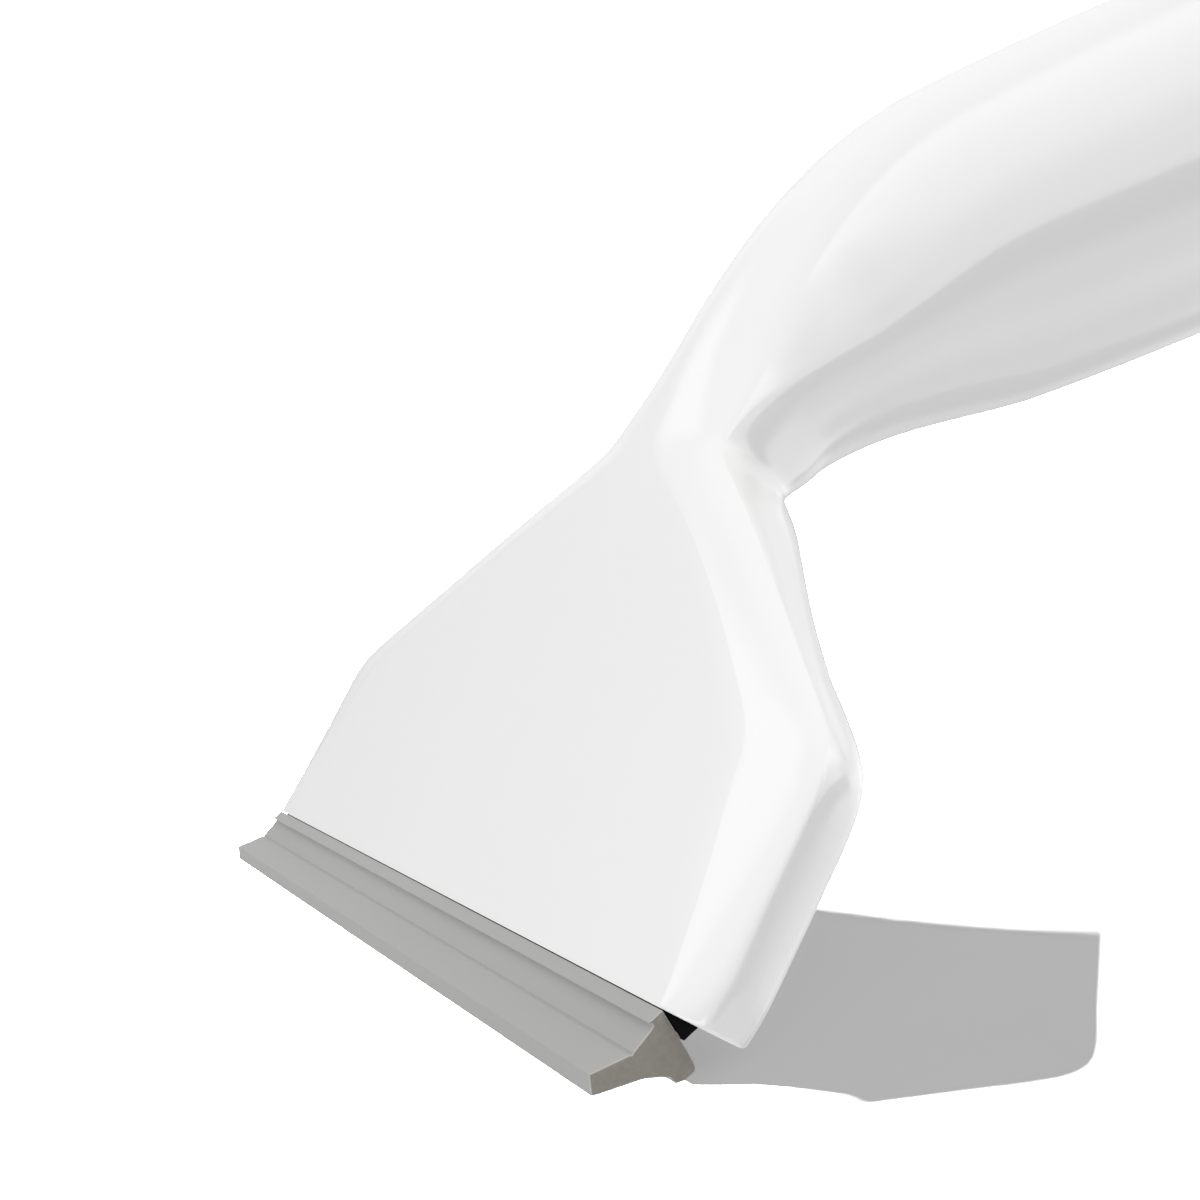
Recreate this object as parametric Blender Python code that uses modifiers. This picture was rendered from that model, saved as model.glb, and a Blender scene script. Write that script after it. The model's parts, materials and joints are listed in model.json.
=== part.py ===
"""Extendable squeegee: flared head with a rubber blade, twist-lock tube and rear grip.

Sizes are in metres. The tool is drawn in its own axes and then laid on the ground:
x runs along the blade, a along the handle from the head to its tail, and n is up
from the handle. (x, a, n) = (0, 0, 0) is the middle of the head's front lower edge.
The head plate leans over the handle. On the plate, h is the height above the lower
edge and d the depth behind the flat front.
"""
import math

import bmesh
import bpy
from mathutils import Matrix, Vector

MM = 0.001

# Clearances
SEAT_GAP = 0.15 * MM
CUT_GAP = 0.3 * MM

# Head plate
HEAD_HALF_WIDTH = 106.0 * MM
PLATE_THICKNESS = 8.8 * MM
PLATE_LEAN = math.radians(39.5)
SHOULDER_HEIGHT = 29.5 * MM
NECK_HEIGHT = 64.0 * MM
NECK_HALF_WIDTH = 29.5 * MM
FACE_HEIGHT = 76.0 * MM
BACK_HEIGHT = 38.0 * MM
SHOULDER_BLEND = 3.6 * MM
FOOT_ROUNDING = 1.0 * MM
FOOT_TAPER = 1.2 * MM
FOOT_TAPER_HEIGHT = 6.0 * MM
NECK_BACK_LEAVE = 14.0 * MM
NECK_BACK_ARRIVE = 22.0 * MM
NECK_FRONT_LEAVE = 20.0 * MM
NECK_FRONT_ARRIVE = (20.0 * MM, 2.6 * MM)

# Barrel, the front half of the handle
AXIS_HEIGHT = 50.0 * MM
NECK_END = 107.0 * MM
UNDERSIDE_START = 80.0 * MM
UNDERSIDE_DROP = 20.3 * MM
BULGE_PLACE = 155.0 * MM
BULGE_RADIUS = 25.0 * MM
ROOT_FALL_TOP = 2.1 * MM
ROOT_FALL_UNDER = 1.4 * MM
UNDERSIDE_LEAVE = 9.0 * MM
UNDERSIDE_ARRIVE = (9.0 * MM, -1.0 * MM)
BARREL_HALF_WIDTH = 22.5 * MM
MOUTH_PLACE = 215.0 * MM
MOUTH_RADIUS = 18.5 * MM
MOUTH_ROUNDING = 1.0 * MM

# Bore of the barrel
BORE_RADIUS = 15.0 * MM
BORE_START = 90.0 * MM
KEY_WIDTH = 3.0 * MM
KEY_HEIGHT = 1.4 * MM

# Rubber blade, points are (a, n) on its cross-section
BLADE_LENGTH = 200.0 * MM
BLADE_OUTLINE = (
    (0.0, -0.2), (-2.0, -0.6), (-2.3, -1.3), (-4.5, -2.6), (-9.2, -2.5), (-9.8, -4.6),
    (-8.8, -4.8), (-4.4, -5.4), (-2.8, -6.0), (-1.9, -6.5), (-1.8, -6.9), (-1.5, -7.3),
    (-0.5, -7.4), (0.6, -7.1), (0.9, -6.8), (0.95, -6.1),
)
BLADE_FOREMOST = 5
BLADE_LOWEST = 12
BLADE_BACK_SLOPE = 0.155
RIB_HALF_THICKNESS = 0.3 * MM
BULB_RADIUS = 0.7 * MM
BULB_HEIGHT = 1.6 * MM
BULB_DEPTH = 2.6 * MM

# Blade carrier
CARRIER_WALL = 0.65 * MM
CARRIER_TONGUE_HEIGHT = 7.0 * MM
CARRIER_TOE = 3.8 * MM
CARRIER_SCREW_SPACING = 120.0 * MM
CARRIER_SCREW_HEIGHT = 5.0 * MM

# Head cover and its screws
COVER_THICKNESS = 2.0 * MM
COVER_FOOT = 11.0 * MM
COVER_BREAK = 24.0 * MM
COVER_TOP = 37.0 * MM
COVER_HALF_WIDTH = 90.0 * MM
COVER_TOP_HALF_WIDTH = 72.0 * MM
COVER_CORNER = 4.0 * MM
COVER_RECESS = 0.1 * MM
LEDGE_WIDTH = 3.0 * MM
FRONT_WALL = 3.0 * MM
COVER_SCREW_PLACES = ((-62.0 * MM, 19.0 * MM), (-22.0 * MM, 29.0 * MM),
                      (22.0 * MM, 29.0 * MM), (62.0 * MM, 19.0 * MM))
BOSS_RADIUS = 3.4 * MM
SCREW_RADIUS = 1.0 * MM
SCREW_HEAD_RADIUS = 2.1 * MM
SCREW_HEAD_HEIGHT = 0.9 * MM
SCREW_LENGTH = 4.5 * MM
SCREW_SLOT_WIDTH = 0.6 * MM
SCREW_SLOT_DEPTH = 0.45 * MM

# Extension tube
TUBE_RADIUS = 11.0 * MM
TUBE_WALL = 1.2 * MM
PLUG_LENGTH = 10.0 * MM
PLUG_SPIGOT = 12.0 * MM
PLUG_GAP = 0.4 * MM
PIN_RADIUS = 1.4 * MM
BUMPER_LENGTH = 2.5 * MM
BUMPER_RADIUS = 14.0 * MM

# Lock: bush, collet, collar
BUSH_INSERT = 12.0 * MM
FLANGE_THICKNESS = 2.0 * MM
NOSE_LENGTH = 13.0 * MM
NOSE_RADIUS = 13.5 * MM
THREAD_DEPTH = 0.6 * MM
THREAD_PITCH = 3.0 * MM
THREAD_TURNS = 2
COLLET_LENGTH = 10.0 * MM
COLLET_RADIUS = 13.2 * MM
COLLET_END_RADIUS = 12.5 * MM
COLLET_SLIT = 1.2 * MM
COLLAR_LENGTH = 26.0 * MM
COLLAR_RADIUS = 18.0 * MM
COLLAR_LIP = 3.6 * MM
BAND_LENGTH = 14.0 * MM
BAND_DEPTH = 1.2 * MM
BAND_RIBS = 24
RING_WIDTH = 1.2 * MM
SEAL_WIDTH = 1.2 * MM

# Rear grip
GRIP_GAP = 5.0 * MM
GRIP_LENGTH = 92.0 * MM
GRIP_RADIUS = 17.5 * MM
GRIP_FRONT_RADIUS = 16.5 * MM
GRIP_FLANGE = 7.0 * MM
GRIP_CORE_RADIUS = 14.0 * MM
GRIP_WAVE = 0.9 * MM
GRIP_WAVES = 3
TAIL_ROUNDING = 2.0 * MM
CAP_LENGTH = 11.0 * MM
CAP_SPIGOT = 16.0 * MM
EAR_THICKNESS = 3.2 * MM
EAR_RADIUS = 4.5 * MM

# Hang loop
LOOP_THICKNESS = 5.0 * MM
LOOP_NECK_WIDTH = 13.6 * MM
LOOP_RADIUS = 13.0 * MM
LOOP_HOLE_RADIUS = 8.5 * MM
LOOP_REACH = 17.0 * MM
LOOP_PIN_RADIUS = 1.5 * MM

# Fineness of round forms
ROUND_STEPS = 36
SMALL_STEPS = 16
SCREW_STEPS = 12
CROWN_STEPS = 5

WHITE = (0.86, 0.87, 0.86)
BLACK = (0.012, 0.012, 0.013)
BLADE_GREY = (0.37, 0.37, 0.37)
DARK_GREY = (0.10, 0.105, 0.11)
STEEL = (0.62, 0.62, 0.63)
ALUMINIUM = (0.74, 0.75, 0.76)
NATURAL = (0.70, 0.70, 0.68)

# Places that follow from the sizes
PLUG_START = BORE_START + 1.0 * MM
TUBE_START = PLUG_START + PLUG_LENGTH + SEAT_GAP
BUMPER_START = TUBE_START + SEAT_GAP
BUSH_START = MOUTH_PLACE - BUSH_INSERT
NOSE_START = MOUTH_PLACE + SEAT_GAP + FLANGE_THICKNESS
NOSE_END = NOSE_START + NOSE_LENGTH
COLLET_START = NOSE_END + CUT_GAP
COLLAR_START = NOSE_START + CUT_GAP
COLLAR_END = COLLAR_START + COLLAR_LENGTH
GRIP_START = COLLAR_END + GRIP_GAP
GRIP_END = GRIP_START + GRIP_LENGTH
TUBE_END = GRIP_END - 4.0 * MM
CAP_START = GRIP_END + SEAT_GAP
CAP_END = CAP_START + CAP_LENGTH
LOOP_PIVOT = CAP_END + EAR_RADIUS - 0.3 * MM
GUIDE_RADIUS = TUBE_RADIUS + CUT_GAP
BLADE_TONGUE_FRONT = BULB_DEPTH - BULB_RADIUS - SEAT_GAP - CARRIER_WALL
BLADE_TONGUE_BACK = BULB_DEPTH + BULB_RADIUS + SEAT_GAP + CARRIER_WALL


def clear_scene():
    for item in list(bpy.data.objects):
        bpy.data.objects.remove(item, do_unlink=True)


def new_collection(name):
    group = bpy.data.collections.new(name)
    bpy.context.scene.collection.children.link(group)
    return group


def new_material(name, colour, roughness, metallic=0.0):
    material = bpy.data.materials.new(name)
    material.use_nodes = True
    shader = material.node_tree.nodes["Principled BSDF"]
    shader.inputs["Base Color"].default_value = (*colour, 1.0)
    shader.inputs["Roughness"].default_value = roughness
    shader.inputs["Metallic"].default_value = metallic
    material.diffuse_color = (*colour, 1.0)
    return material


def rest_on_ground():
    """Tilt of the handle and the drop that put the blade and the grip's end on the ground."""
    low_a, low_n = BLADE_OUTLINE[BLADE_LOWEST]
    low = Vector((low_a * MM, low_n * MM))
    tail = Vector((GRIP_END - TAIL_ROUNDING, AXIS_HEIGHT - GRIP_RADIUS + TAIL_ROUNDING))
    reach = tail - low
    tilt = math.atan2(reach.y, reach.x) - math.asin(TAIL_ROUNDING / reach.length)
    front_a, front_n = BLADE_OUTLINE[BLADE_FOREMOST]
    rise = -(low.y * math.cos(tilt) - low.x * math.sin(tilt))
    front = front_a * MM * math.cos(tilt) + front_n * MM * math.sin(tilt)
    loop_end = LOOP_PIVOT + LOOP_REACH + LOOP_RADIUS
    back_n = AXIS_HEIGHT + 0.5 * LOOP_THICKNESS
    back = loop_end * math.cos(tilt) + back_n * math.sin(tilt)
    return tilt, rise, -0.5 * (front + back)


class Frame:
    """An empty that carries pieces, with its own place in the tool's axes."""

    def __init__(self, name, parent=None, place=(0.0, 0.0, 0.0), lean=0.0):
        self.empty = bpy.data.objects.new(name, None)
        self.empty.empty_display_size = 0.01
        ASSEMBLY.objects.link(self.empty)
        self.place = Vector(place)
        origin = self.place
        if parent:
            self.empty.parent = parent.empty
            origin = self.place - parent.place
        self.empty.location = origin
        self.empty.rotation_euler = (lean, 0.0, 0.0)

    def carry(self, item, place=(0.0, 0.0, 0.0), rotation=(0.0, 0.0, 0.0)):
        item.parent = self.empty
        item.location = Vector(place)
        item.rotation_euler = rotation
        return item


def add_object(name, mesh, material=None, cutter=False):
    item = bpy.data.objects.new(name, mesh)
    (CUTTERS if cutter else ASSEMBLY).objects.link(item)
    if cutter:
        item.hide_render = True
        item.display_type = "WIRE"
    if material:
        item.data.materials.append(material)
    return item


def blend(row, value):
    """Smooth value between the (place, size) pairs of a row, never past its neighbours."""
    xs = [pair[0] for pair in row]
    ys = [pair[1] for pair in row]
    if value <= xs[0]:
        return ys[0]
    if value >= xs[-1]:
        return ys[-1]
    steps = [xs[i + 1] - xs[i] for i in range(len(xs) - 1)]
    slopes = [(ys[i + 1] - ys[i]) / steps[i] for i in range(len(steps))]
    grades = [0.0] * len(xs)
    for i in range(1, len(xs) - 1):
        before, after = slopes[i - 1], slopes[i]
        if before * after > 0.0:
            w1 = 2.0 * steps[i] + steps[i - 1]
            w2 = steps[i] + 2.0 * steps[i - 1]
            grades[i] = (w1 + w2) / (w1 / before + w2 / after)
    i = max(k for k in range(len(steps)) if xs[k] <= value)
    t = (value - xs[i]) / steps[i]
    low = (1 + 2 * t) * (1 - t) ** 2 * ys[i] + t * (1 - t) ** 2 * steps[i] * grades[i]
    high = t * t * (3 - 2 * t) * ys[i + 1] + t * t * (t - 1) * steps[i] * grades[i + 1]
    return low + high


def bezier(start, start_handle, end_handle, end, t):
    s = 1.0 - t
    return (s ** 3 * start + 3 * s * s * t * start_handle
            + 3 * s * t * t * end_handle + t ** 3 * end)


PLATE_UP = Vector((math.cos(PLATE_LEAN), math.sin(PLATE_LEAN)))
PLATE_FRONT = Vector((-math.sin(PLATE_LEAN), math.cos(PLATE_LEAN)))


def on_plate(h, d):
    """Point (a, n) at height h and depth d of the leaning head plate."""
    return PLATE_UP * h - PLATE_FRONT * d


def plan_half_width(h):
    """Half-width of the head in plan: straight sides, a round shoulder and a slope to the neck."""
    low = max(FOOT_TAPER_HEIGHT - h, 0.0) / FOOT_TAPER_HEIGHT
    side = HEAD_HALF_WIDTH - FOOT_TAPER * low ** 2
    slope = (NECK_HEIGHT - SHOULDER_HEIGHT) / (HEAD_HALF_WIDTH - NECK_HALF_WIDTH)
    sloping = min(NECK_HALF_WIDTH + (NECK_HEIGHT - h) / slope, side + 20 * SHOULDER_BLEND)
    near = math.exp((sloping - side) / SHOULDER_BLEND)
    return sloping - SHOULDER_BLEND * math.log(1.0 + near)


def barrel_rear(a):
    share = (a - BULGE_PLACE) / (MOUTH_PLACE - BULGE_PLACE)
    return MOUTH_RADIUS + 0.5 * (BULGE_RADIUS - MOUTH_RADIUS) * (1 + math.cos(math.pi * share))


def barrel_top(a):
    if a > BULGE_PLACE:
        return barrel_rear(a)
    share = (BULGE_PLACE - a) / (BULGE_PLACE - NECK_END)
    return BULGE_RADIUS - ROOT_FALL_TOP * share ** 1.9


def barrel_under(a):
    if a > BULGE_PLACE:
        return barrel_rear(a)
    share = (BULGE_PLACE - a) / (BULGE_PLACE - NECK_END)
    return BULGE_RADIUS - ROOT_FALL_UNDER * share ** 2.2


def back_of_neck(t):
    """The back's bend from the plate to the underside of the handle, t from 0 to 1."""
    start = on_plate(BACK_HEIGHT, PLATE_THICKNESS)
    end = Vector((UNDERSIDE_START, AXIS_HEIGHT - UNDERSIDE_DROP))
    leave = start + PLATE_UP * NECK_BACK_LEAVE
    arrive = end - Vector((NECK_BACK_ARRIVE, 0.0))
    return bezier(start, leave, arrive, end, 1 - (1 - t) ** 2.2)


def rails(u):
    """Front and back points of the body in its middle plane.

    The station u is 0 to 1 up the flat face, 1 to 2 round the neck and 2 to 3 along the barrel.
    """
    split = BACK_HEIGHT / FACE_HEIGHT
    if u <= 1.0:
        front = on_plate(FACE_HEIGHT * u, 0.0)
        if u <= split:
            return front, on_plate(FACE_HEIGHT * u, PLATE_THICKNESS)
        return front, back_of_neck((u - split) / (1.5 - split))
    if u <= 2.0:
        start = on_plate(FACE_HEIGHT, 0.0)
        end = Vector((NECK_END, AXIS_HEIGHT + barrel_top(NECK_END)))
        leave = start + PLATE_UP * NECK_FRONT_LEAVE
        arrive = end - Vector(NECK_FRONT_ARRIVE)
        front = bezier(start, leave, arrive, end, u - 1.0)
        if u <= 1.5:
            return front, back_of_neck((u - split) / (1.5 - split))
        low_start = Vector((UNDERSIDE_START, AXIS_HEIGHT - UNDERSIDE_DROP))
        low_end = Vector((NECK_END, AXIS_HEIGHT - barrel_under(NECK_END)))
        low_leave = low_start + Vector((UNDERSIDE_LEAVE, 0.0))
        low_arrive = low_end - Vector(UNDERSIDE_ARRIVE)
        return front, bezier(low_start, low_leave, low_arrive, low_end, 2.0 * u - 3.0)
    a = NECK_END + (MOUTH_PLACE - NECK_END) * (u - 2.0)
    return Vector((a, AXIS_HEIGHT + barrel_top(a))), Vector((a, AXIS_HEIGHT - barrel_under(a)))


def section_shape(u):
    """Half-width, ridge depth, front and back edge widths and edge fullness at a station."""
    h = FACE_HEIGHT * u
    neck = NECK_HEIGHT / FACE_HEIGHT
    if h <= NECK_HEIGHT:
        half = plan_half_width(h)
    else:
        half = blend(((neck, plan_half_width(NECK_HEIGHT)),
                      (1.0, BARREL_HALF_WIDTH + 3.1 * MM),
                      (1.35, BARREL_HALF_WIDTH + 0.9 * MM),
                      (2.0, BARREL_HALF_WIDTH),
                      (2.45, BARREL_HALF_WIDTH),
                      (3.0, MOUTH_RADIUS)), u)
    ridge = blend(((0.0, 0.385 * PLATE_THICKNESS), (0.5, 0.385 * PLATE_THICKNESS),
                   (0.84, 4.1 * MM), (1.0, 5.2 * MM), (1.08, 8.3 * MM), (1.35, 15.5 * MM),
                   (1.6, 19.5 * MM), (2.0, barrel_top(NECK_END)),
                   (2.3, BULGE_RADIUS - 0.4 * MM), (3.0, MOUTH_RADIUS)), u)
    front = blend(((0.0, 3.6 * MM), (0.15, 9.7 * MM), (0.33, 16.7 * MM), (0.45, 17.0 * MM),
                   (0.70, 15.5 * MM), (0.84, 20.0 * MM), (1.0, 22.0 * MM),
                   (1.2, 22.3 * MM), (3.0, 22.5 * MM)), u)
    back = blend(((0.0, 4.0 * MM), (0.3, 4.6 * MM), (0.42, 8.0 * MM), (0.6, 6.0 * MM),
                  (0.8, 8.0 * MM), (0.95, 14.0 * MM), (1.1, 20.0 * MM), (1.4, 22.5 * MM)), u)
    front_power = blend(((0.0, 2.6), (0.5, 2.6), (0.84, 2.3), (1.3, 2.05), (3.0, 2.0)), u)
    back_power = blend(((0.0, 2.2), (0.84, 2.2), (1.3, 2.1), (3.0, 2.0)), u)
    return half, ridge, min(front, half), min(back, half), front_power, back_power


def edge_points(half, edge, height, power, count):
    """Quarter outline from the centre line out to the ridge: a flat, then a rounded edge.

    Where the flat is narrow, its points move on along the rounded edge.
    """
    flat = half - edge
    first = math.radians(12.0) * max(1.0 - flat / (6.0 * MM), 0.0)
    angles = [first * k / 3 for k in range(3)]
    angles += [first + (0.5 * math.pi - first) * k / count for k in range(count + 1)]
    points = []
    for k, angle in enumerate(angles):
        x = flat * min(k / 3, 1.0) + edge * math.sin(angle) ** (2 / power)
        points.append((x, height * max(math.cos(angle), 0.0) ** (2 / power)))
    return points


def half_section(u, shrink_front=0.0, shrink_back=0.0):
    """Right half of the body's section at a station, from front centre to back centre."""
    front, back = rails(u)
    half, ridge, front_edge, back_edge, front_power, back_power = section_shape(u)
    depth = (front - back).length
    outward = (front - back) / depth
    scale_front = 1.0 - shrink_front / max(ridge, 1.0 * MM)
    scale_back = 1.0 - shrink_back / max(depth - ridge, 1.0 * MM)
    narrow = max(shrink_front, shrink_back)
    centre = front - outward * ridge
    high = ridge * scale_front
    low = (depth - ridge) * scale_back
    outline = edge_points(half, front_edge, high, front_power, 8)
    under = edge_points(half, back_edge, -low, back_power, 7)
    outline += under[-2::-1]
    keep = (half - narrow) / half
    return [(x * keep, *(centre + outward * side)) for x, side in outline]


def body_stations():
    """Sections from the foot to the mouth: station and how far its front and back draw in."""
    stations = []
    for k in range(3):
        angle = 0.5 * math.pi * k / 2
        h = FOOT_ROUNDING * (1 - math.cos(angle))
        stations.append((h / FACE_HEIGHT, 0.0, FOOT_ROUNDING * (1 - math.sin(angle))))
    for share in (0.06, 0.14, 0.22, 0.28, 0.33, 0.37, 0.41, 0.45, 0.5, 0.56, 0.62,
                  0.69, 0.75, 0.8, 0.84, 0.88, 0.94, 1.0):
        stations.append((share, 0.0, 0.0))
    stations += [(1.0 + k / 9, 0.0, 0.0) for k in range(1, 10)]
    stations += [(2.0 + k / 8, 0.0, 0.0) for k in range(1, 8)]
    for k in range(3):
        angle = 0.5 * math.pi * k / 2
        a = MOUTH_PLACE - MOUTH_ROUNDING * (1 - math.sin(angle))
        inset = MOUTH_ROUNDING * (1 - math.cos(angle))
        stations.append((2.0 + (a - NECK_END) / (MOUTH_PLACE - NECK_END), inset, inset))
    return stations


def loft_half(sections):
    """Open half shell through the sections, closed at both ends."""
    bm = bmesh.new()
    rows = [[bm.verts.new(point) for point in section] for section in sections]
    for row, following in zip(rows, rows[1:]):
        for k in range(len(row) - 1):
            bm.faces.new((row[k], row[k + 1], following[k + 1], following[k]))
    bm.faces.new(reversed(rows[0]))
    bm.faces.new(rows[-1])
    bmesh.ops.triangulate(bm, faces=bm.faces)
    mesh = bpy.data.meshes.new("half_shell")
    bm.to_mesh(mesh)
    bm.free()
    return mesh


def turned(name, profile, material=None, steps=ROUND_STEPS, cutter=False):
    """Solid turned about its local Z from (radius, z) points, open only where it meets the axis."""
    area = 0.0
    for (r0, z0), (r1, z1) in zip(profile, profile[1:] + profile[:1]):
        area += r0 * z1 - r1 * z0
    points = profile if area < 0.0 else profile[::-1]
    on_axis = [k for k, point in enumerate(points) if point[0] == 0.0]
    if len(on_axis) == 2:
        start = on_axis[1] if (on_axis[0] + 1) % len(points) == on_axis[1] else on_axis[0]
        points = points[start:] + points[:start]
    mesh = bpy.data.meshes.new(name)
    edges = [(k, k + 1) for k in range(len(points) - 1)]
    if not on_axis:
        edges.append((len(points) - 1, 0))
    mesh.from_pydata([(r, 0.0, z) for r, z in points], edges, [])
    item = add_object(name, mesh, material, cutter)
    screw = item.modifiers.new("turn", "SCREW")
    screw.axis = "Z"
    screw.angle = 2.0 * math.pi
    screw.steps = steps
    screw.render_steps = steps
    screw.use_merge_vertices = True
    screw.merge_threshold = 0.00001
    screw.use_smooth_shade = True
    return item


def as_mesh(item):
    """Replace a curve or a modified object by its evaluated mesh, with loose caps welded."""
    bpy.context.view_layer.update()
    graph = bpy.context.evaluated_depsgraph_get()
    mesh = bpy.data.meshes.new_from_object(item.evaluated_get(graph))
    bm = bmesh.new()
    bm.from_mesh(mesh)
    bmesh.ops.remove_doubles(bm, verts=bm.verts, dist=0.000001)
    bm.to_mesh(mesh)
    bm.free()
    made = bpy.data.objects.new(item.name + "_mesh", mesh)
    for group in item.users_collection:
        group.objects.link(made)
    made.parent = item.parent
    made.matrix_world = item.matrix_world
    made.hide_render = item.hide_render
    made.display_type = item.display_type
    name = item.name
    bpy.data.objects.remove(item, do_unlink=True)
    made.name = name
    return made


def extruded(name, loops, thickness, material=None, cutter=False):
    """Flat outline with optional holes, in local XY, extruded evenly along local Z."""
    curve = bpy.data.curves.new(name, "CURVE")
    curve.dimensions = "2D"
    curve.fill_mode = "BOTH"
    curve.extrude = 0.5 * thickness
    for loop in loops:
        spline = curve.splines.new("POLY")
        spline.points.add(len(loop) - 1)
        for point, (x, y) in zip(spline.points, loop):
            point.co = (x, y, 0.0, 1.0)
        spline.use_cyclic_u = True
    return add_object(name, curve, material, cutter)


def box(name, size, material=None, cutter=False):
    bm = bmesh.new()
    bmesh.ops.create_cube(bm, size=1.0, matrix=Matrix.Diagonal((*size, 1.0)))
    mesh = bpy.data.meshes.new(name)
    bm.to_mesh(mesh)
    bm.free()
    return add_object(name, mesh, material, cutter)


def rod(name, radius, length, material=None, steps=SMALL_STEPS, cutter=False):
    """Cylinder centred on its local Z."""
    bm = bmesh.new()
    bmesh.ops.create_cone(bm, cap_ends=True, segments=steps, radius1=radius, radius2=radius,
                          depth=length)
    mesh = bpy.data.meshes.new(name)
    bm.to_mesh(mesh)
    bm.free()
    return add_object(name, mesh, material, cutter)


def boolean(item, tool, operation="DIFFERENCE"):
    change = item.modifiers.new(tool.name, "BOOLEAN")
    change.operation = operation
    change.object = tool
    change.solver = "EXACT"


def boolean_group(item, name, tools, operation="DIFFERENCE"):
    """One Boolean for several tools, which may overlap each other."""
    group = bpy.data.collections.new(name)
    CUTTERS.children.link(group)
    for tool in tools:
        group.objects.link(tool)
        CUTTERS.objects.unlink(tool)
    change = item.modifiers.new(name, "BOOLEAN")
    change.operation = operation
    change.operand_type = "COLLECTION"
    change.collection = group
    change.solver = "EXACT"


def arc(centre, radius, start, end, count):
    """Points of a circular arc between two angles in degrees."""
    points = []
    for k in range(count + 1):
        angle = math.radians(start + (end - start) * k / count)
        points.append((centre[0] + radius * math.cos(angle), centre[1] + radius * math.sin(angle)))
    return points


def rounded_corners(corners, radius, count=4):
    """Outline with each corner replaced by an arc of the given radius."""
    outline = []
    for k, corner in enumerate(corners):
        here = Vector(corner)
        before = (Vector(corners[k - 1]) - here).normalized()
        after = (Vector(corners[(k + 1) % len(corners)]) - here).normalized()
        half = 0.5 * before.angle(after)
        reach = radius / math.tan(half)
        centre = here + (before + after).normalized() * radius / math.sin(half)
        first = here + before * reach - centre
        last = here + after * reach - centre
        turn = math.atan2(first.x * last.y - first.y * last.x, first.dot(last))
        for j in range(count + 1):
            angle = math.atan2(first.y, first.x) + turn * j / count
            outline.append((centre.x + radius * math.cos(angle),
                            centre.y + radius * math.sin(angle)))
    return outline


# Local Z along the handle towards the tail, used by every turned piece
ALONG_HANDLE = (-0.5 * math.pi, 0.0, 0.0)
# Local Z along the blade, local X along the handle, local Y up
ALONG_BLADE = (0.5 * math.pi, 0.0, 0.5 * math.pi)
# Local Z across the handle, along the blade's direction
ACROSS_HANDLE = (0.0, 0.5 * math.pi, 0.0)


def turned_on_handle(frame, name, start, profile, material=None, steps=ROUND_STEPS,
                     cutter=False):
    """Turned piece on the handle's axis; its profile is (radius, distance from start)."""
    item = turned(name, profile, material, steps, cutter)
    place = Vector((0.0, start, AXIS_HEIGHT)) - frame.place
    return frame.carry(item, place, ALONG_HANDLE)


def cover_outline(grow):
    """Outline of the head cover on the plate, grown or shrunk evenly."""
    slant = math.atan2(COVER_HALF_WIDTH - COVER_TOP_HALF_WIDTH, COVER_TOP - COVER_BREAK)
    side = COVER_HALF_WIDTH + grow
    top = COVER_TOP + grow
    shift = grow * (1.0 / math.cos(slant) - math.tan(slant))
    top_side = COVER_TOP_HALF_WIDTH + shift
    break_height = COVER_BREAK + grow * math.tan(0.5 * slant)
    corners = ((-side, COVER_FOOT - grow), (side, COVER_FOOT - grow), (side, break_height),
               (top_side, top), (-top_side, top), (-side, break_height))
    return rounded_corners(corners, COVER_CORNER + grow)


def blade_back(n):
    """Distance a of the blade's straight back at height n."""
    return -n * BLADE_BACK_SLOPE


def rib_on_back(d, gap):
    """Point where a line along the plate at depth d meets the blade's back, moved back by a gap."""
    slope = BLADE_BACK_SLOPE
    lean_cos, lean_sin = math.cos(PLATE_LEAN), math.sin(PLATE_LEAN)
    n = -d / (slope * lean_sin + lean_cos)
    return (blade_back(n) + gap, n)


def bulb_arc(radius, half_rib, count=10):
    """Arc of the blade's bulb, or of its groove, from the rib's lower side to its upper side."""
    centre = on_plate(BULB_HEIGHT, BULB_DEPTH)
    open_half = math.degrees(math.asin(half_rib / radius))
    foot = math.degrees(PLATE_LEAN) + 180.0
    return arc(centre, radius, foot + open_half, foot + 360.0 - open_half, count)


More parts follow.
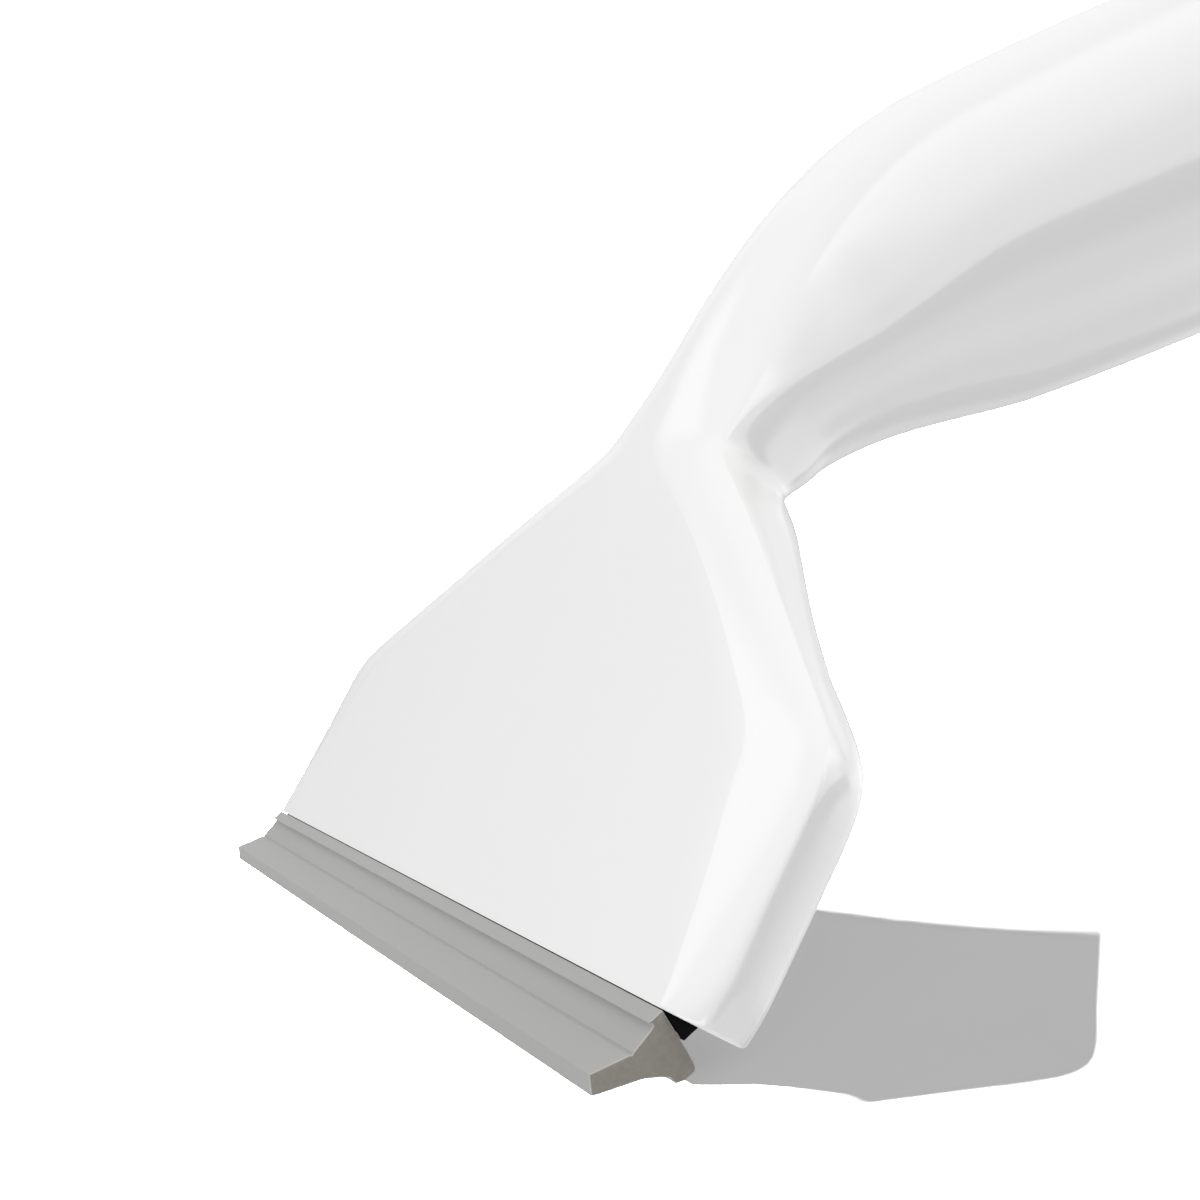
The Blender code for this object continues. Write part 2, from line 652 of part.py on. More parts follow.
def make_main_body(frame, plate, material):
    sections = [half_section(*station) for station in body_stations()]
    item = add_object("main_body", loft_half(sections), material)
    frame.carry(item, -frame.place)
    mirror = item.modifiers.new("other_half", "MIRROR")
    mirror.use_axis = (True, False, False)
    mirror.use_clip = True
    mirror.merge_threshold = 0.00001

    length = MOUTH_PLACE - BORE_START + 2 * MM
    bore = turned_on_handle(frame, "cut_bore", BORE_START,
                            [(0.0, 0.0), (BORE_RADIUS, 0.0), (BORE_RADIUS, length),
                             (0.0, length)], cutter=True)
    groove_depth = BORE_RADIUS + KEY_HEIGHT + CUT_GAP
    groove = box("cut_key_groove", (KEY_WIDTH + 2 * CUT_GAP, length, groove_depth), cutter=True)
    frame.carry(groove, Vector((0.0, BORE_START + 0.5 * length + 1 * MM,
                                AXIS_HEIGHT - 0.5 * groove_depth)) - frame.place)

    slot_half = 0.5 * BLADE_LENGTH + CUT_GAP
    slot_front = BLADE_TONGUE_FRONT - SEAT_GAP
    slot_back = BLADE_TONGUE_BACK + SEAT_GAP
    slot_top = CARRIER_TONGUE_HEIGHT + SEAT_GAP
    slot = box("cut_carrier_slot", (2 * slot_half, slot_top + 2 * MM, slot_back - slot_front),
               cutter=True)
    plate.carry(slot, (0.0, 0.5 * slot_top - 1 * MM, -0.5 * (slot_front + slot_back)))

    rabbet_depth = COVER_THICKNESS + COVER_RECESS + SEAT_GAP
    rabbet = extruded("cut_cover_rabbet", [cover_outline(CUT_GAP)], 2 * rabbet_depth, cutter=True)
    plate.carry(rabbet, (0.0, 0.0, -PLATE_THICKNESS))
    pocket_depth = PLATE_THICKNESS - FRONT_WALL
    pocket = extruded("cut_pocket", [cover_outline(-LEDGE_WIDTH)], 2 * pocket_depth, cutter=True)
    plate.carry(pocket, (0.0, 0.0, -PLATE_THICKNESS))
    boolean_group(item, "body_hollows", [bore, groove, slot, as_mesh(rabbet), as_mesh(pocket)])

    ledge = PLATE_THICKNESS - rabbet_depth - SEAT_GAP
    boss_foot = FRONT_WALL - 0.5 * MM
    bosses = []
    holes = []
    for k, (x, h) in enumerate(COVER_SCREW_PLACES):
        boss = rod(f"add_boss_{k + 1}", BOSS_RADIUS, ledge - boss_foot, cutter=True)
        bosses.append(plate.carry(boss, (x, h, -0.5 * (ledge + boss_foot))))
        pilot = rod(f"cut_pilot_{k + 1}", SCREW_RADIUS + SEAT_GAP, 2 * (SCREW_LENGTH - 1 * MM),
                    cutter=True, steps=SCREW_STEPS)
        holes.append(plate.carry(pilot, (x, h, -ledge)))
    for k, x in enumerate(carrier_screw_places()):
        shaft = rod(f"cut_carrier_screw_{k + 1}", SCREW_RADIUS + CUT_GAP,
                    2 * (PLATE_THICKNESS - BULB_DEPTH), cutter=True, steps=SCREW_STEPS)
        holes.append(plate.carry(shaft, (x, CARRIER_SCREW_HEIGHT, -PLATE_THICKNESS)))
        head = rod(f"cut_carrier_head_{k + 1}", SCREW_HEAD_RADIUS + CUT_GAP,
                   2 * (SCREW_HEAD_HEIGHT + 2 * SEAT_GAP), cutter=True)
        holes.append(plate.carry(head, (x, CARRIER_SCREW_HEIGHT, -PLATE_THICKNESS)))
    boolean_group(item, "screw_bosses", bosses, "UNION")
    boolean_group(item, "screw_holes", holes)
    item.data.shade_smooth()
    item.data.set_sharp_from_angle(angle=math.radians(35))
    return item


def carrier_screw_places():
    return (-0.5 * CARRIER_SCREW_SPACING, 0.5 * CARRIER_SCREW_SPACING)


def make_head_cover(plate, material):
    cover = extruded("head_cover", [cover_outline(0.0)], COVER_THICKNESS)
    middle = PLATE_THICKNESS - COVER_RECESS - 0.5 * COVER_THICKNESS
    plate.carry(cover, (0.0, 0.0, -middle))
    cover = as_mesh(cover)
    cover.data.materials.append(material)
    outside = PLATE_THICKNESS - COVER_RECESS
    for k, (x, h) in enumerate(COVER_SCREW_PLACES):
        through = rod(f"cut_cover_hole_{k + 1}", SCREW_RADIUS + CUT_GAP, 3 * COVER_THICKNESS,
                      cutter=True, steps=SCREW_STEPS)
        plate.carry(through, (x, h, -outside))
        boolean(cover, through)
        sink = rod(f"cut_cover_sink_{k + 1}", SCREW_HEAD_RADIUS + CUT_GAP,
                   2 * (SCREW_HEAD_HEIGHT + SEAT_GAP), cutter=True)
        plate.carry(sink, (x, h, -outside))
        boolean(cover, sink)
    return cover


def make_screw(plate, name, x, h, outside, length, material):
    """Cross-slotted screw driven in from the back; outside is the depth of its head's top."""
    screw = turned(name, [(0.0, 0.0), (SCREW_HEAD_RADIUS, 0.0),
                          (SCREW_HEAD_RADIUS, SCREW_HEAD_HEIGHT),
                          (SCREW_RADIUS, SCREW_HEAD_HEIGHT),
                          (SCREW_RADIUS, length - SCREW_RADIUS), (0.0, length)],
                   material, SCREW_STEPS)
    plate.carry(screw, (x, h, -outside))
    for k in range(2):
        size = [SCREW_SLOT_WIDTH, SCREW_SLOT_WIDTH, 2 * SCREW_SLOT_DEPTH]
        size[k] = 1.3 * SCREW_HEAD_RADIUS
        slot = box(f"cut_{name}_{k + 1}", size, cutter=True)
        plate.carry(slot, (x, h, -outside))
        boolean(screw, slot)
    return screw


def make_screws(plate, material):
    outside = PLATE_THICKNESS - COVER_RECESS - 0.5 * SEAT_GAP
    for k, (x, h) in enumerate(COVER_SCREW_PLACES):
        make_screw(plate, f"cover_screw_{k + 1}", x, h, outside, SCREW_LENGTH, material)
    length = PLATE_THICKNESS - BULB_DEPTH
    for k, x in enumerate(carrier_screw_places()):
        make_screw(plate, f"carrier_screw_{k + 1}", x, CARRIER_SCREW_HEIGHT,
                   PLATE_THICKNESS - SEAT_GAP, length - SEAT_GAP, material)


def make_rubber_blade(frame, material):
    outline = [(a * MM, n * MM) for a, n in BLADE_OUTLINE]
    outline.append(rib_on_back(BULB_DEPTH + RIB_HALF_THICKNESS, 0.0))
    outline += bulb_arc(BULB_RADIUS, RIB_HALF_THICKNESS)
    outline.append(rib_on_back(BULB_DEPTH - RIB_HALF_THICKNESS, 0.0))
    blade = extruded("rubber_blade", [outline], BLADE_LENGTH, material)
    return frame.carry(blade, -frame.place, ALONG_BLADE)


def make_blade_carrier(frame, plate, material):
    gap = SEAT_GAP
    half_groove = RIB_HALF_THICKNESS + gap
    outline = [on_plate(-gap, 3 * gap), on_plate(-gap, BLADE_TONGUE_FRONT),
               on_plate(CARRIER_TONGUE_HEIGHT, BLADE_TONGUE_FRONT),
               on_plate(CARRIER_TONGUE_HEIGHT, BLADE_TONGUE_BACK),
               on_plate(-gap, BLADE_TONGUE_BACK),
               on_plate(-0.8 * MM, BLADE_TONGUE_BACK - 0.3 * MM),
               (blade_back(-CARRIER_TOE) + gap, -CARRIER_TOE),
               rib_on_back(BULB_DEPTH + half_groove, gap)]
    outline += bulb_arc(BULB_RADIUS + gap, half_groove)
    outline.append(rib_on_back(BULB_DEPTH - half_groove, gap))
    carrier = extruded("blade_carrier", [outline], BLADE_LENGTH)
    frame.carry(carrier, -frame.place, ALONG_BLADE)
    carrier = as_mesh(carrier)
    carrier.data.materials.append(material)
    for k, x in enumerate(carrier_screw_places()):
        hole = rod(f"cut_carrier_hole_{k + 1}", SCREW_RADIUS + SEAT_GAP,
                   2 * (PLATE_THICKNESS - BULB_DEPTH + SEAT_GAP), cutter=True, steps=SCREW_STEPS)
        plate.carry(hole, (x, CARRIER_SCREW_HEIGHT, -PLATE_THICKNESS))
        boolean(carrier, hole)
    return carrier


def make_mouth_bush(frame, material):
    body = BORE_RADIUS - 0.5 * CUT_GAP
    flange = MOUTH_RADIUS - MOUTH_ROUNDING
    insert = BUSH_INSERT + SEAT_GAP
    thread_root = NOSE_RADIUS
    profile = [(GUIDE_RADIUS, 0.0), (body, 0.0), (body, insert), (flange, insert),
               (flange, insert + FLANGE_THICKNESS), (thread_root, insert + FLANGE_THICKNESS)]
    start = insert + FLANGE_THICKNESS + 0.8 * MM
    for k in range(THREAD_TURNS):
        z = start + k * THREAD_PITCH
        profile += [(thread_root, z), (thread_root + THREAD_DEPTH, z + 0.3 * THREAD_PITCH),
                    (thread_root + THREAD_DEPTH, z + 0.5 * THREAD_PITCH),
                    (thread_root, z + 0.8 * THREAD_PITCH)]
    ring = retaining_ring_place() - BUSH_START
    end = insert + FLANGE_THICKNESS + NOSE_LENGTH
    groove = thread_root - THREAD_DEPTH
    profile += [(thread_root, ring - SEAT_GAP), (groove, ring - SEAT_GAP),
                (groove, ring + RING_WIDTH + SEAT_GAP),
                (thread_root, ring + RING_WIDTH + SEAT_GAP),
                (thread_root, end), (GUIDE_RADIUS, end)]
    return turned_on_handle(frame, "mouth_bush", BUSH_START, profile, material)


def retaining_ring_place():
    return NOSE_END - RING_WIDTH - 2.0 * MM


def make_retaining_ring(frame, material):
    inner = NOSE_RADIUS - THREAD_DEPTH + SEAT_GAP
    outer = collar_inner_radius() + 0.4 * MM
    profile = [(inner, 0.0), (outer, 0.0), (outer, RING_WIDTH), (inner, RING_WIDTH)]
    return turned_on_handle(frame, "retaining_ring", retaining_ring_place(), profile, material)


def collar_inner_radius():
    return NOSE_RADIUS + THREAD_DEPTH + CUT_GAP


def make_collet(frame, material):
    straight = 2.0 * MM
    profile = [(GUIDE_RADIUS, 0.0), (COLLET_RADIUS, 0.0), (COLLET_RADIUS, straight),
               (COLLET_END_RADIUS, COLLET_LENGTH), (GUIDE_RADIUS, COLLET_LENGTH)]
    collet = turned_on_handle(frame, "collet", COLLET_START, profile, material)
    length = COLLET_LENGTH - straight + 1 * MM
    middle = COLLET_START + straight + 0.5 * length
    for k in range(2):
        size = [3 * COLLET_RADIUS, length, 3 * COLLET_RADIUS]
        size[2 * k] = COLLET_SLIT
        slit = box(f"cut_collet_{k + 1}", size, cutter=True)
        frame.carry(slit, Vector((0.0, middle, AXIS_HEIGHT)) - frame.place)
        boolean(collet, slit)
    return collet


def make_twist_collar(frame, material):
    inner = collar_inner_radius()
    ring = retaining_ring_place() - COLLAR_START
    ring_groove = inner + 0.4 * MM + CUT_GAP
    cone_start = COLLET_START - COLLAR_START
    cone_end = cone_start + COLLET_LENGTH + CUT_GAP
    lip = TUBE_RADIUS + 3 * CUT_GAP
    seal = seal_place() - COLLAR_START
    seal_groove = lip + 1.2 * MM
    band_start, band_end = band_span()
    chamfer = 1.0 * MM
    front, back = COLLAR_RADIUS - 0.6 * MM, COLLAR_RADIUS - 1.6 * MM
    groove = COLLAR_RADIUS - BAND_DEPTH
    profile = [(front - chamfer, 0.0), (front, chamfer), (front, band_start),
               (groove, band_start), (groove, band_end), (front, band_end),
               (front, COLLAR_LENGTH - 3 * MM), (back, COLLAR_LENGTH - chamfer),
               (back - chamfer, COLLAR_LENGTH), (lip, COLLAR_LENGTH),
               (lip, seal + SEAL_WIDTH + SEAT_GAP), (seal_groove, seal + SEAL_WIDTH + SEAT_GAP),
               (seal_groove, seal - SEAT_GAP), (lip, seal - SEAT_GAP), (lip, cone_end),
               (COLLET_END_RADIUS + CUT_GAP, cone_end), (COLLET_RADIUS + CUT_GAP, cone_start),
               (inner, cone_start), (inner, ring + RING_WIDTH + SEAT_GAP),
               (ring_groove, ring + RING_WIDTH + SEAT_GAP), (ring_groove, ring - SEAT_GAP),
               (inner, ring - SEAT_GAP), (inner, 0.0)]
    return turned_on_handle(frame, "twist_collar", COLLAR_START, profile, material)


def band_span():
    """Start and end of the collar's band, from the collar's start."""
    start = 3.5 * MM
    return start, start + BAND_LENGTH


def seal_place():
    return COLLAR_END - COLLAR_LIP + 0.5 * (COLLAR_LIP - SEAL_WIDTH) + 0.2 * MM


def make_collar_band(frame, material):
    inner = COLLAR_RADIUS - BAND_DEPTH + SEAT_GAP
    start, end = band_span()
    points_per_rib = 6
    count = BAND_RIBS * points_per_rib
    ribbed = []
    for k in range(count):
        angle = 2 * math.pi * k / count
        radius = COLLAR_RADIUS - 0.3 * MM + 0.3 * MM * math.cos(BAND_RIBS * angle)
        ribbed.append((radius * math.cos(angle), radius * math.sin(angle)))
    hole = arc((0.0, 0.0), inner, 0.0, 360.0 * (ROUND_STEPS - 1) / ROUND_STEPS, ROUND_STEPS - 1)
    band = extruded("collar_band", [ribbed, hole], BAND_LENGTH - 2 * SEAT_GAP, material)
    middle = COLLAR_START + 0.5 * (start + end)
    return frame.carry(band, Vector((0.0, middle, AXIS_HEIGHT)) - frame.place, ALONG_HANDLE)


def make_tube_seal(frame, material):
    inner = TUBE_RADIUS + CUT_GAP
    outer = TUBE_RADIUS + 3 * CUT_GAP + 1.2 * MM - SEAT_GAP
    profile = [(inner, 0.0), (outer, 0.0), (outer, SEAL_WIDTH), (inner, SEAL_WIDTH)]
    return turned_on_handle(frame, "tube_seal", seal_place(), profile, material)


def make_extension_tube(frame, material):
    length = TUBE_END - TUBE_START
    inner = TUBE_RADIUS - TUBE_WALL
    profile = [(inner, 0.0), (TUBE_RADIUS, 0.0), (TUBE_RADIUS, length), (inner, length)]
    tube = turned_on_handle(frame, "extension_tube", TUBE_START, profile, material)
    for name, place in (("cut_tube_front_pin", plug_pin_place()),
                        ("cut_tube_rear_pin", grip_pin_place())):
        boolean(tube, cross_cutter(frame, name, place, PIN_RADIUS + SEAT_GAP))
    return tube


def cross_cutter(frame, name, place, radius):
    hole = rod(name, radius, 4 * GRIP_RADIUS, cutter=True, steps=SMALL_STEPS)
    return frame.carry(hole, Vector((0.0, place, AXIS_HEIGHT)) - frame.place, ACROSS_HANDLE)


def plug_pin_place():
    return TUBE_START + BUMPER_LENGTH + 4.0 * MM


def grip_pin_place():
    return TUBE_END - 6.0 * MM


def make_guide_plug(frame, material):
    radius = BORE_RADIUS - PLUG_GAP
    spigot = TUBE_RADIUS - TUBE_WALL - SEAT_GAP
    edge = 1.0 * MM
    end = PLUG_LENGTH + SEAT_GAP + PLUG_SPIGOT
    profile = [(0.0, 0.0), (radius - edge, 0.0), (radius, edge), (radius, PLUG_LENGTH),
               (spigot, PLUG_LENGTH), (spigot, end), (0.0, end)]
    plug = turned_on_handle(frame, "guide_plug", PLUG_START, profile, material)
    key_top = BORE_RADIUS + KEY_HEIGHT
    key_length = PLUG_LENGTH - 2 * edge
    key = box("add_plug_key", (KEY_WIDTH, key_length, 0.5 * key_top), cutter=True)
    middle = PLUG_START + 0.5 * PLUG_LENGTH
    frame.carry(key, Vector((0.0, middle, AXIS_HEIGHT - 0.75 * key_top)) - frame.place)
    boolean(plug, key, "UNION")
    boolean(plug, cross_cutter(frame, "cut_plug_pin", plug_pin_place(), PIN_RADIUS + SEAT_GAP))
    return plug


def make_cross_pin(frame, name, place, length, material):
    pin = rod(name, PIN_RADIUS, length, material)
    return frame.carry(pin, Vector((0.0, place, AXIS_HEIGHT)) - frame.place, ACROSS_HANDLE)


def make_stop_bumper(frame, material):
    inner = TUBE_RADIUS + SEAT_GAP
    edge = 0.5 * MM
    profile = [(inner, 0.0), (BUMPER_RADIUS, 0.0), (BUMPER_RADIUS, BUMPER_LENGTH - edge),
               (BUMPER_RADIUS - edge, BUMPER_LENGTH), (inner, BUMPER_LENGTH)]
    return turned_on_handle(frame, "stop_bumper", BUMPER_START, profile, material)


def make_grip_core(frame, material):
    inner = TUBE_RADIUS + SEAT_GAP
    edge = 1.5 * MM
    profile = [(inner, 0.0), (GRIP_FRONT_RADIUS - edge, 0.0), (GRIP_FRONT_RADIUS, edge),
               (GRIP_FRONT_RADIUS, GRIP_FLANGE), (GRIP_CORE_RADIUS, GRIP_FLANGE),
               (GRIP_CORE_RADIUS, GRIP_LENGTH - GRIP_FLANGE),
               (GRIP_RADIUS, GRIP_LENGTH - GRIP_FLANGE)]
    centre = (GRIP_RADIUS - TAIL_ROUNDING, GRIP_LENGTH - TAIL_ROUNDING)
    profile += arc(centre, TAIL_ROUNDING, 0.0, 90.0, 4)
    seat = TUBE_END - GRIP_START + SEAT_GAP
    spigot_gap = TUBE_RADIUS - TUBE_WALL
    profile += [(spigot_gap, GRIP_LENGTH), (spigot_gap, seat), (inner, seat)]
    core = turned_on_handle(frame, "grip_core", GRIP_START, profile, material)
    boolean(core, cross_cutter(frame, "cut_core_pin", grip_pin_place(), PIN_RADIUS + SEAT_GAP))
    return core


def make_grip_sleeve(frame, material):
    start = GRIP_FLANGE + SEAT_GAP
    end = GRIP_LENGTH - GRIP_FLANGE - SEAT_GAP
    inner = GRIP_CORE_RADIUS + SEAT_GAP
    count = 6 * GRIP_WAVES
    profile = [(inner, end - start), (inner, 0.0)]
    for k in range(count + 1):
        share = k / count
        straight = GRIP_FRONT_RADIUS + (GRIP_RADIUS - GRIP_FRONT_RADIUS) * share
        wave = 0.5 * GRIP_WAVE * (1 - math.cos(2 * math.pi * GRIP_WAVES * share))
        profile.append((straight - 0.1 * MM - wave, (end - start) * share))
    return turned_on_handle(frame, "grip_sleeve", GRIP_START + start, profile, material)


def make_end_cap(frame, material):
    radius = GRIP_RADIUS - TAIL_ROUNDING
    spigot = TUBE_RADIUS - TUBE_WALL - SEAT_GAP
    reach = -CAP_SPIGOT
    face = 0.62 * radius
    profile = [(0.0, reach), (spigot, reach), (spigot, 0.0), (radius, 0.0)]
    for k in range(1, CROWN_STEPS + 1):
        angle = 0.5 * math.pi * k / CROWN_STEPS
        profile.append((face + (radius - face) * math.cos(angle),
                        CAP_LENGTH * math.sin(angle)))
    profile.append((0.0, CAP_LENGTH))
    cap = turned_on_handle(frame, "end_cap", CAP_START, profile, material)
    inside = 0.5 * LOOP_NECK_WIDTH + CUT_GAP
    sink = 2.0 * MM
    for k, side in enumerate((-1, 1)):
        pivot = LOOP_PIVOT - CAP_END
        ear_outline = [(-sink, -EAR_RADIUS)]
        ear_outline += arc((pivot, 0.0), EAR_RADIUS, -90.0, 90.0, 10)
        ear_outline.append((-sink, EAR_RADIUS))
        ear = extruded(f"add_ear_{k + 1}", [ear_outline], EAR_THICKNESS, cutter=True)
        place = Vector((side * (inside + 0.5 * EAR_THICKNESS), CAP_END, AXIS_HEIGHT))
        frame.carry(ear, place - frame.place, ALONG_BLADE)
        boolean(cap, as_mesh(ear), "UNION")
    boolean(cap, cross_cutter(frame, "cut_cap_grip_pin", grip_pin_place(),
                              PIN_RADIUS + SEAT_GAP))
    boolean(cap, cross_cutter(frame, "cut_cap_loop_pin", LOOP_PIVOT,
                              LOOP_PIN_RADIUS + SEAT_GAP))
    return cap


def loop_pin_length():
    return LOOP_NECK_WIDTH + 2 * CUT_GAP + 2 * EAR_THICKNESS


def make_loop_pin(frame, material):
    pin = rod("loop_pin", LOOP_PIN_RADIUS, loop_pin_length(), material)
    return frame.carry(pin, Vector((0.0, LOOP_PIVOT, AXIS_HEIGHT)) - frame.place, ACROSS_HANDLE)


def make_hang_loop(frame, material):
    """Flat loop: a neck between the ears that widens into a ring."""
    neck = 0.5 * LOOP_NECK_WIDTH
    back = -(EAR_RADIUS - 0.3 * MM - 1.0 * MM)
    meet = math.degrees(math.asin(neck / LOOP_RADIUS))
    outline = [(neck, back)]
    outline += arc((0.0, LOOP_REACH), LOOP_RADIUS, -90.0 + meet, 270.0 - meet, 26)
    outline.append((-neck, back))
    hole = arc((0.0, LOOP_REACH), LOOP_HOLE_RADIUS, 0.0, 345.0, 23)
    loop = extruded("hang_loop", [outline, hole], LOOP_THICKNESS)
    frame.carry(loop)
    loop = as_mesh(loop)
    loop.data.materials.append(material)
    hole_cut = rod("cut_loop_pin", LOOP_PIN_RADIUS + SEAT_GAP, 2 * LOOP_NECK_WIDTH, cutter=True)
    frame.carry(hole_cut, rotation=ACROSS_HANDLE)
    boolean(loop, hole_cut)
    return loop


clear_scene()
ASSEMBLY = new_collection("extendable_squeegee")
CUTTERS = new_collection("cutters")


def build():
    white = new_material("gloss_white", WHITE, 0.12)
    cover_white = new_material("cover_white", WHITE, 0.25)
    black = new_material("carrier_black", BLACK, 0.4)
    rubber = new_material("blade_rubber", BLADE_GREY, 0.55)
    soft = new_material("soft_grip", DARK_GREY, 0.7)
    seal = new_material("seal_rubber", BLACK, 0.6)
    steel = new_material("steel", STEEL, 0.3, 1.0)
    aluminium = new_material("aluminium", ALUMINIUM, 0.25, 1.0)
    natural = new_material("guide_plastic", NATURAL, 0.45)

    tilt, rise, shift = rest_on_ground()
    tool = Frame("tool_axes")
    tool.empty.location = (0.0, shift, rise)
    tool.empty.rotation_euler = (-tilt, 0.0, 0.0)
    head = Frame("head_slide", tool, (0.0, MOUTH_PLACE, AXIS_HEIGHT))
    plate = Frame("head_plate_axes", head, lean=PLATE_LEAN)
    collar = Frame("collar_turn", head, (0.0, COLLAR_START, AXIS_HEIGHT))
    handle = Frame("handle_axes", tool, (0.0, TUBE_START, AXIS_HEIGHT))
    loop = Frame("loop_swing", handle, (0.0, LOOP_PIVOT, AXIS_HEIGHT))

    make_main_body(head, plate, white)
    make_head_cover(plate, cover_white)
    make_screws(plate, steel)
    make_rubber_blade(head, rubber)
    make_blade_carrier(head, plate, black)
    make_mouth_bush(head, natural)
    make_retaining_ring(head, steel)
    make_collet(head, natural)

    make_twist_collar(collar, white)
    make_collar_band(collar, soft)
    make_tube_seal(collar, seal)

    make_extension_tube(handle, aluminium)
    make_guide_plug(handle, natural)
    make_cross_pin(handle, "plug_pin", plug_pin_place(), 2 * TUBE_RADIUS, steel)
    make_stop_bumper(handle, seal)
    make_grip_core(handle, white)
    make_grip_sleeve(handle, soft)
    make_end_cap(handle, white)
    make_cross_pin(handle, "grip_pin", grip_pin_place(), 2 * GRIP_CORE_RADIUS, steel)
    make_loop_pin(handle, steel)
    make_hang_loop(loop, soft)
    bpy.context.view_layer.update()


build()
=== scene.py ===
"""Looks of the extendable squeegee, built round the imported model.

Sizes are in metres. Pieces are drawn in the tool's own axes: x along the blade, a along
the handle from the head to the tail, n up from the handle, with (0, 0, 0) at the middle
of the head's front lower edge. The head plate leans over the handle: h is the height on
it above the lower edge and d the depth behind its flat front.
"""

import bisect
import json
import math

import bmesh
import bpy
from mathutils import Matrix, Vector


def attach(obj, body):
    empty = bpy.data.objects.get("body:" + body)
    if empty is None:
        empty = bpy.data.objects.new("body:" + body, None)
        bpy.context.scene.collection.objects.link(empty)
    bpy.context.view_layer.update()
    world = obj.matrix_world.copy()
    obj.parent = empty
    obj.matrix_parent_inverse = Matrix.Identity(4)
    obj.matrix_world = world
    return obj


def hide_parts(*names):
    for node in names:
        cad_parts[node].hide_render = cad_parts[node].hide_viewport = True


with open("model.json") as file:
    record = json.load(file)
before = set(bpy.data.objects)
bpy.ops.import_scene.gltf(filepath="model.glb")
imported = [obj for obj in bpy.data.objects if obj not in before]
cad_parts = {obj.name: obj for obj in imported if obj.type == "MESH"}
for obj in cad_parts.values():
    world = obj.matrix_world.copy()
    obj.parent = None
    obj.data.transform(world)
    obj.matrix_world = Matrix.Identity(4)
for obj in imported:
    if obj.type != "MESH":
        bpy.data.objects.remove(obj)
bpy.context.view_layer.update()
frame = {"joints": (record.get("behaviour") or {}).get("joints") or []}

MM = 0.001

# Head plate and barrel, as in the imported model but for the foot's smaller rounding; each fall
# says how far the barrel draws in from its bulge to the neck, and the power of that curve
HEAD_HALF_WIDTH = 106.0 * MM
PLATE_THICKNESS = 8.8 * MM
PLATE_LEAN = math.radians(39.5)
SHOULDER_HEIGHT = 29.5 * MM
NECK_HEIGHT = 66.7 * MM
NECK_HALF_WIDTH = 23.5 * MM
NECK_BLEND = 2.6 * MM
FACE_HEIGHT = 76.0 * MM
BACK_HEIGHT = 38.0 * MM
SHOULDER_BLEND = 3.6 * MM
FOOT_ROUNDING = 0.5 * MM
FOOT_TAPER = 1.2 * MM
FOOT_TAPER_HEIGHT = 6.0 * MM
NECK_BACK_LEAVE = 14.0 * MM
NECK_BACK_ARRIVE = 22.0 * MM
NECK_FRONT_LEAVE = 20.0 * MM
NECK_FRONT_ARRIVE = (20.0 * MM, 2.6 * MM)
AXIS_HEIGHT = 50.0 * MM
NECK_END = 107.0 * MM
UNDERSIDE_START = 80.0 * MM
UNDERSIDE_DROP = 20.3 * MM
BULGE_PLACE = 155.0 * MM
BULGE_RADIUS = 25.0 * MM
TOP_FALL = (2.1 * MM, 1.9)
UNDER_FALL = (1.4 * MM, 2.2)
UNDERSIDE_LEAVE = 9.0 * MM
UNDERSIDE_ARRIVE = (9.0 * MM, -1.0 * MM)
BARREL_HALF_WIDTH = 22.5 * MM
MOUTH_PLACE = 215.0 * MM
MOUTH_RADIUS = 18.5 * MM
MOUTH_ROUNDING = 1.0 * MM
LOOP_PIVOT = 355.8 * MM

BORE_START = 90.0 * MM
BORE_RADIUS = 15.0 * MM
KEY_WIDTH = 3.0 * MM
KEY_HEIGHT = 1.4 * MM

# Gaps between pieces that rest on each other, and round pieces that move; how far cutting
# tools reach past an open face
SEAT_GAP = 0.15 * MM
CUT_GAP = 0.3 * MM
OVERSHOOT = 1.0 * MM

# Rubber blade and its carrier; the outline's points are (a, n) in millimetres
BLADE_LENGTH = 200.0 * MM
BLADE_OUTLINE = (
    (-0.06, -0.02), (-2.0, -0.6), (-1.5, -0.8), (-1.55, -1.1), (-2.05, -1.42), (-4.35, -2.55),
    (-4.5, -2.75), (-4.75, -2.6), (-9.2, -2.5), (-9.8, -4.6),
    (-8.8, -4.8), (-4.4, -5.4), (-2.8, -6.0), (-1.9, -6.5), (-1.8, -6.9), (-1.5, -7.3),
    (-0.5, -7.4), (0.6, -7.1), (0.9, -6.8), (0.95, -6.1),
)
BLADE_BACK_SLOPE = 0.155
BLADE_EDGE = 0.2 * MM
GROOVE_END = 1.5 * MM
RIB_HALF_THICKNESS = 0.3 * MM
BULB_RADIUS = 0.7 * MM
BULB_HEIGHT = 1.6 * MM
BULB_DEPTH = 2.6 * MM
BULB_STEPS = 14
CARRIER_WALL = 0.65 * MM
CARRIER_EDGE = 0.05 * MM
CARRIER_TONGUE_HEIGHT = 7.0 * MM
CARRIER_TOE = 3.8 * MM
CARRIER_SCREW_PLACES = (-60.0 * MM, 60.0 * MM)
CARRIER_SCREW_HEIGHT = 5.0 * MM
PROFILE_CORNER = 0.15 * MM
BLADE_TONGUE_FRONT = BULB_DEPTH - BULB_RADIUS - SEAT_GAP - CARRIER_WALL
BLADE_TONGUE_BACK = BULB_DEPTH + BULB_RADIUS + SEAT_GAP + CARRIER_WALL

